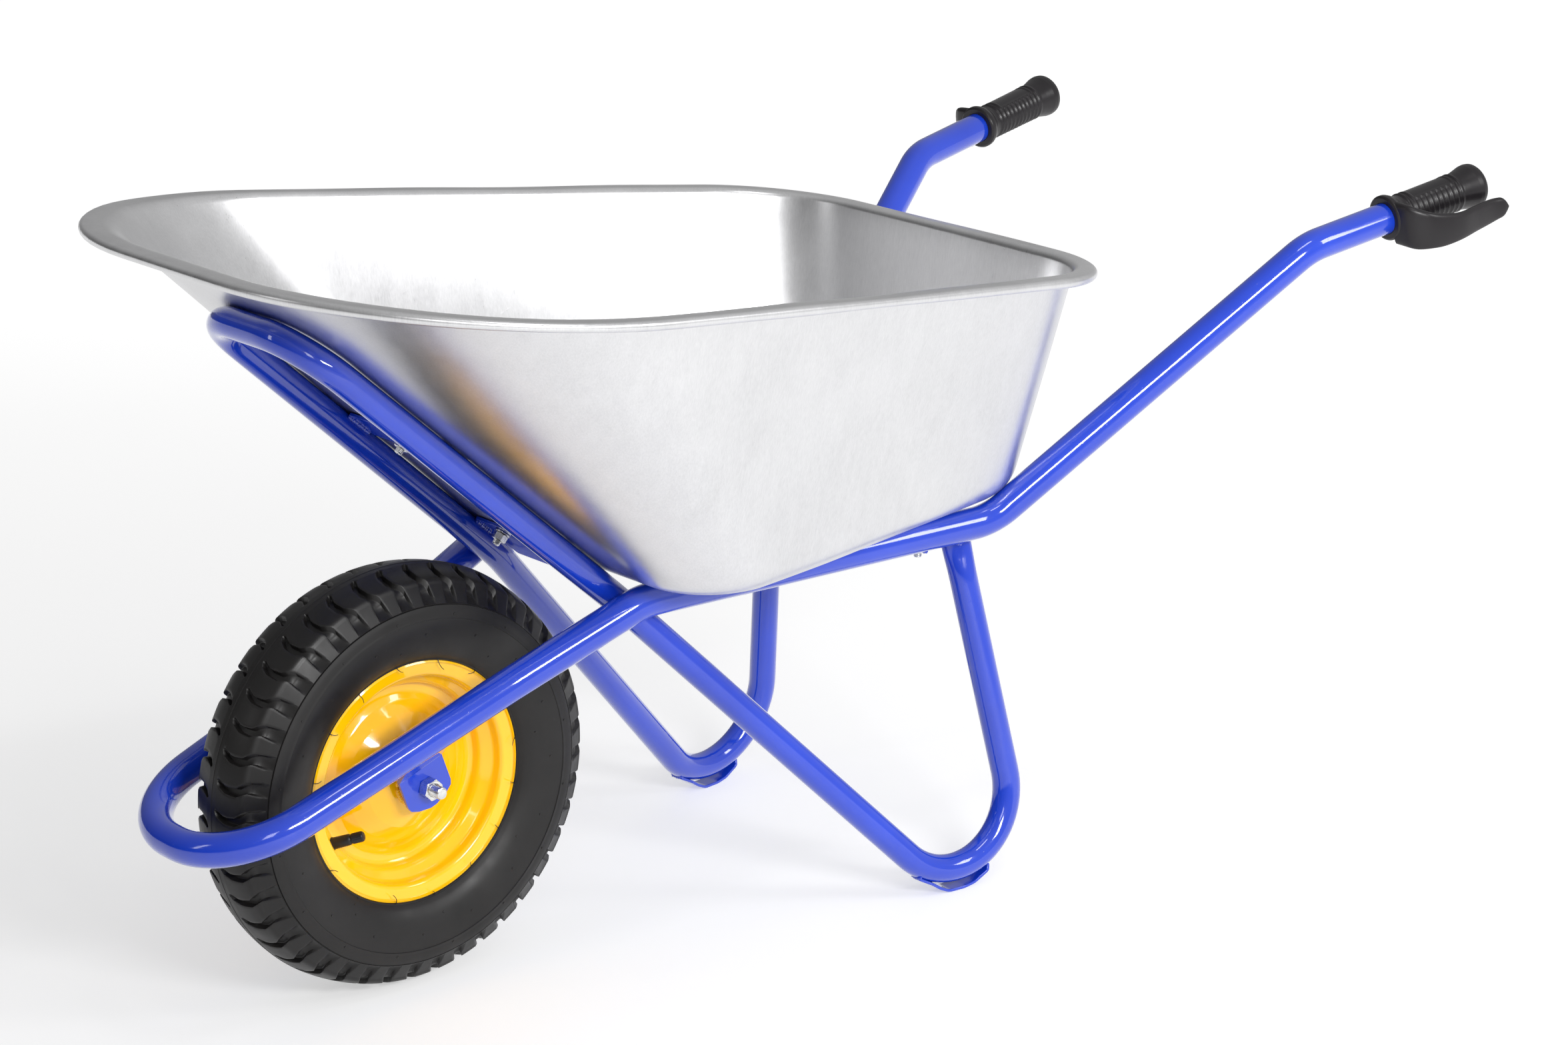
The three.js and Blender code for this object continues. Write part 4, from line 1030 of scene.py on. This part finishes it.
def tyre_shape():
    half = half_tyre()
    rows = []
    for mirror in (False, True):
        shift = RIGHT_SHIFT if mirror else 0
        for offsets, sunk, (dy, dr), y, r in (half[::-1] if mirror else half):
            ring = []
            for column in range(PITCHES * PER_PITCH):
                k, m = divmod(column - shift, PER_PITCH)
                flat, depth = offsets[m], sunk[m]
                if mirror:
                    # The right half is the left half turned round, so its shifts run the other way.
                    opposite = 2 * GROOVE_COLUMN - m
                    flat = -offsets[opposite % PER_PITCH] + (0 if opposite >= 0 else PITCH)
                    depth = sunk[opposite % PER_PITCH]
                angle = math.radians(FIRST_GROOVE + PITCH * (k + shift / PER_PITCH) + flat)
                yy, rr = y + dy * depth, r + dr * depth
                ring.append((rr * math.cos(angle), -yy if mirror else yy, AXLE_HEIGHT + rr * math.sin(angle)))
            rows.append(ring)
    return Shape().grid(rows, closed=True)


piece("tyre_carcass", tyre_shape(), TYRE_RUBBER, "wheel", ["tyre"], sharp=34)


MARKED_RADII = [116, 118.2, 122, 129, 138, 147, 154, 160, 166]
MARKED_Y = [34.5, 36.4, 39.6, 43.5, 46.6, 48.7, 49.6, 49.9, 48.9]
VENTS = ((162.5, 13.2, 22.5), (145.0, 2.5, 22.5), (131.8, 36.3, 45.0))


def sidewall_y(r):
    return float(np.interp(r, MARKED_RADII, MARKED_Y))


def vent_stub(radius, angle, side, size):
    """The rings of one stub, square to the sidewall."""
    radial = AHEAD * math.cos(angle) + UP * math.sin(angle)
    round_wheel = UP * math.cos(angle) - AHEAD * math.sin(angle)
    slope = (sidewall_y(radius + 1) - sidewall_y(radius - 1)) / 2
    normal = unit(ACROSS * side - radial * slope)
    origin = around(radius, sidewall_y(radius) * side, angle) - normal * 0.3
    profile = [(size, 0), (size, 0.5), (size * 0.8, 0.85), (size * 0.3, 1.0)]
    return turned_on((round_wheel, np.cross(round_wheel, normal), normal, origin), profile, 10)


def bead_hair(degrees, side, length, inward, sweep):
    """The rings of one hair: it lies over the rim, or on the sidewall where inward is negative."""
    path = []
    for t in np.linspace(0, 1, 9):
        r = 116.6 - inward * length * t * (1 - 0.25 * t)
        y = 35.2 + 6.5 * t
        if inward > 0:
            y = 34.9 + 2.2 * math.sin(min(1.0, t * 1.6) * math.pi / 2) + 1.2 * t
        path.append(around(r, y * side, math.radians(degrees + sweep * t * t)))
    return swept(path, headings(path), lambda i, p, out: 0.42 - 0.018 * i, 6)


def moulding_marks():
    """Stubs of the mould's vents on both sidewalls, and the rubber hairs left standing along the bead."""
    stubs, hairs = Shape(), Shape()
    rng = random.Random(41)
    for side in (1, -1):
        for radius, first, step in VENTS:
            for k in range(round(360 / step)):
                stubs.bar(vent_stub(radius, math.radians(first + step * k), side, rng.uniform(0.95, 1.2)))
        for k in range(16):
            degrees = 36.4 + 22.5 * k + rng.uniform(-0.5, 0.5)
            length = rng.uniform(6, 14)
            inward = 1.0 if rng.random() < 0.75 else -0.8
            hairs.bar(bead_hair(degrees, side, length, inward, rng.uniform(-4.5, 4.5)))
    return stubs, hairs


stubs, hairs = moulding_marks()
piece("tyre_vent_stubs", stubs, TYRE_RUBBER, "wheel")
piece("tyre_bead_hairs", hairs, TYRE_RUBBER, "wheel")

# ---- grips ----
GRIP_Y = HANDLE
GRIP_X = unit(np.cross(HANDLE, UP))
GRIP_Z = np.cross(GRIP_X, GRIP_Y)
GRIP_PROFILE = [
    (99.7, 17.2), (99.7, 21.2), (101.6, 23.2), (105.6, 23.2), (109.5, 21.6), (113, 19.4), (117, 18.1),
    (120, 17.8), (188, 18.3), (194, 18.8), (201, 20.2), (207, 21.6), (211, 22.6), (215.5, 23.0),
    (219.2, 22.4), (221.8, 20.4), (223.6, 16.5), (224.6, 10.0), (225, 1.0)]
GRIP_BENDS = [1.2, 1.8, 2.5, 3, 3, 3, 3, 6, 6, 8, 8, 4, 3, 2.5, 2.5, 2.5, 2.0]
GRIP_BORE = [(0.5, 216), (16.3, 216), (16.3, 99.7)]
GRIP_SIDES = 96
RIBS_FROM, RIBS_TO, RIB_COUNT = 120.0, 193.0, 11
PANEL_FROM, PANEL_TO, PANEL_HALF_ANGLE = 131.0, 183.0, 0.62
PANEL_EDGE, PANEL_SIDE_FRAME, PANEL_END_FRAME = 0.07, 0.14, 2.5


def grip_radius(s, r, a):
    """The ribbed barrel, with a framed blank panel on top: s runs along the grip, a round it."""
    if not RIBS_FROM < s < RIBS_TO:
        return r
    turns = (s - RIBS_FROM) / (RIBS_TO - RIBS_FROM) * RIB_COUNT
    swell = (0.5 - 0.5 * math.cos(2 * math.pi * turns)) ** 1.5
    fade = min(1.0, (s - RIBS_FROM) / 2, (RIBS_TO - s) / 2)
    off_top = abs((a - math.pi / 2 + math.pi) % (2 * math.pi) - math.pi)
    from_end = min(s - PANEL_FROM, PANEL_TO - s)

    def inside(side, end):
        across = np.clip((PANEL_HALF_ANGLE + side - off_top) / PANEL_EDGE, 0, 1)
        return across * np.clip(from_end + end, 0, 1)

    in_panel, near = inside(0, 0), inside(PANEL_SIDE_FRAME, PANEL_END_FRAME)
    return r + 1.5 * swell * fade * (1 - near) + 1.4 * near * (1 - in_panel) + 0.5 * in_panel


def grip_shape():
    on_handle = (GRIP_X, GRIP_Z, GRIP_Y, HANDLE_BEND)
    line = rounded(GRIP_PROFILE, GRIP_BENDS, 3)
    dense = [line[0]]
    for p, q in zip(line, line[1:]):
        steps = max(1, int(np.linalg.norm(q - p) / 0.8))
        dense += [p + (q - p) * k / steps for k in range(1, steps + 1)]
    rings = [[spoke(on_handle, a, grip_radius(s, r, a), s) for a in full_turn(GRIP_SIDES)] for s, r in dense]
    bore = turned_on(on_handle, GRIP_BORE, GRIP_SIDES)
    shape = Shape().grid(rings + [bore[2], bore[1]])
    shape.grid([bore[2], rings[0]])
    return shape.cap(rings[-1]).cap(bore[1])


GUARD_OUTSIDE = [(13, 100.2), (31, 104.5), (41, 115), (46.5, 131), (47, 160), (41.5, 188), (37.6, 212),
                 (38.6, 231)]
GUARD_INSIDE = [(13, 109.6), (28, 112.5), (36.5, 121), (41, 134), (41.5, 159), (36, 187), (32.2, 212),
                (33, 231.5)]
GUARD_LOW = smooth_line([(99, -20), (104, -24.5), (111, -28.6), (125, -30), (141, -31.2), (173, -30.8),
                         (205, -30.4), (219, -29), (232, -27)], 60)
GUARD_HIGH = smooth_line([(99, 20.5), (104, 19.5), (110, 15.5), (120, 9.6), (132, 4.6), (148, 0), (165, -3.2),
                          (188, -4.6), (212, -6), (232, -9)], 60)


def guard_shape():
    """The knuckle guard: a band that leaves the collar, runs past the grip and ends in a rounded free tip."""
    count, sides = 90, 32
    outer, inner = smooth_line(GUARD_OUTSIDE, count), smooth_line(GUARD_INSIDE, count)
    rings = []
    for i, (o, n) in enumerate(zip(outer, inner)):
        s = (o[1] + n[1]) / 2
        low, high = np.interp(s, *GUARD_LOW.T), np.interp(s, *GUARD_HIGH.T)
        left = (count - 0.9 - i) / 6
        if left < 1:
            shrink = math.sqrt(max(0.05, 1 - (1 - left) ** 2))
            middle = (low + high) / 2
            low, high = middle + (low - middle) * shrink, middle + (high - middle) * shrink
        thick = math.hypot(*(o - n)) * (0.92 if left > 0.5 else 0.8)
        across_plan = (o - n) / np.linalg.norm(o - n)
        centre = (o + n) / 2
        ring = []
        for a in full_turn(sides):
            cx, cz = math.cos(a), math.sin(a)
            ex = math.copysign(abs(cx) ** 0.6, cx) * thick / 2
            ez = math.copysign(abs(cz) ** 0.34, cz) * (high - low) / 2
            lip = max(0.0, 1 - ((high - low) / 2 - ez) / 3.0)
            crown = 1.1 * (1 - (2 * ez / max(high - low, 1e-6)) ** 2) - 0.8 * lip * lip if cx > 0 else 0.0
            e, along = centre + across_plan * (ex + crown)
            ring.append(HANDLE_BEND + GRIP_X * e + GRIP_Y * along + GRIP_Z * ((low + high) / 2 + ez))
        rings.append(ring)
    return Shape().bar(rings)


pair("handle_grip", grip_shape(), PLASTIC, "frame", ["grip"], sharp=40)
pair("knuckle_guard", guard_shape(), PLASTIC, "frame", sharp=50)

# ---- carried over from the CAD ----
for slot in frame["nodes"]["inner_tube"].material_slots:
    slot.material = TUBE_RUBBER[0]

# ---- camera, floor and light ----
CAMERA_AT = place([2034.62, 2882.48, 1534.20])
LOOK_AT = place([-476.30, 0.0, 343.21])


def aimed(name, data, where, at):
    """A camera or lamp that looks from one point at another."""
    obj = new_object(name, data)
    obj.location = where
    obj.rotation_euler = (Vector(at) - Vector(where)).to_track_quat("-Z", "Y").to_euler()
    return obj


camera_data = bpy.data.cameras.new("camera")
camera_data.lens = 93.46
camera_data.sensor_width = 36.0
camera_data.clip_end = 200.0
bpy.context.scene.camera = aimed("camera", camera_data, CAMERA_AT, LOOK_AT)
bpy.context.scene.view_settings.view_transform = "Standard"


def studio_floor(half=30.0):
    mesh = bpy.data.meshes.new("floor")
    corners = [(-half, -half, 0), (half, -half, 0), (half, half, 0), (-half, half, 0)]
    mesh.from_pydata(corners, [], [(0, 1, 2, 3)])
    floor = new_object("floor", mesh)
    floor.location.z = -0.0004
    n = Nodes("floor_white")
    n.set(Base_Color=(0.55, 0.55, 0.55, 1.0), Roughness=0.6, Emission_Color=(1.0, 1.0, 1.0, 1.0))
    # The paper glows a little, more so behind and beside the barrow than ahead of its wheel.
    n.link(n.toward((-0.75, -0.66, 0.0), 0.46, 0.74, -0.8, 2.6), n.shader.inputs["Emission Strength"])
    mesh.materials.append(n.owner)


def studio_world():
    """Light from all round: bright to the rear and the camera's side, and darker ahead of the wheel."""
    n = Nodes("studio", bpy.data.worlds, "Background", "Generated")
    n.set(Color=(1.0, 1.0, 1.0, 1.0))
    n.link(n.toward((-0.61, 0.51, 0.61), 0.05, 0.62, -0.7, 0.8), n.shader.inputs["Strength"])
    bpy.context.scene.world = n.owner


def softbox(name, where, toward, size, power):
    data = bpy.data.lights.new(name, "AREA")
    data.shape = "RECTANGLE"
    data.size, data.size_y = size[0], size[1]
    data.energy = power
    aimed(name, data, where, toward)


studio_floor()
softbox("key", (0.6, 2.9, 1.68), (0.0, 0.0, 0.4), (1.25, 0.42), 62)
softbox("right", (-1.5, 2.5, 1.9), (0.0, 0.0, 0.4), (0.6, 1.0), 18)
softbox("behind_camera", (2.9, 3.3, 2.6), (0.0, 0.1, 0.4), (0.9, 1.3), 16)
softbox("overhead", (0.05, 1.3, 2.95), (0.1, 0.1, 0.3), (1.1, 0.3), 8)
softbox("left", (3.3, -0.9, 1.7), (0.3, 0.0, 0.3), (0.3, 1.2), 4)

studio_world()
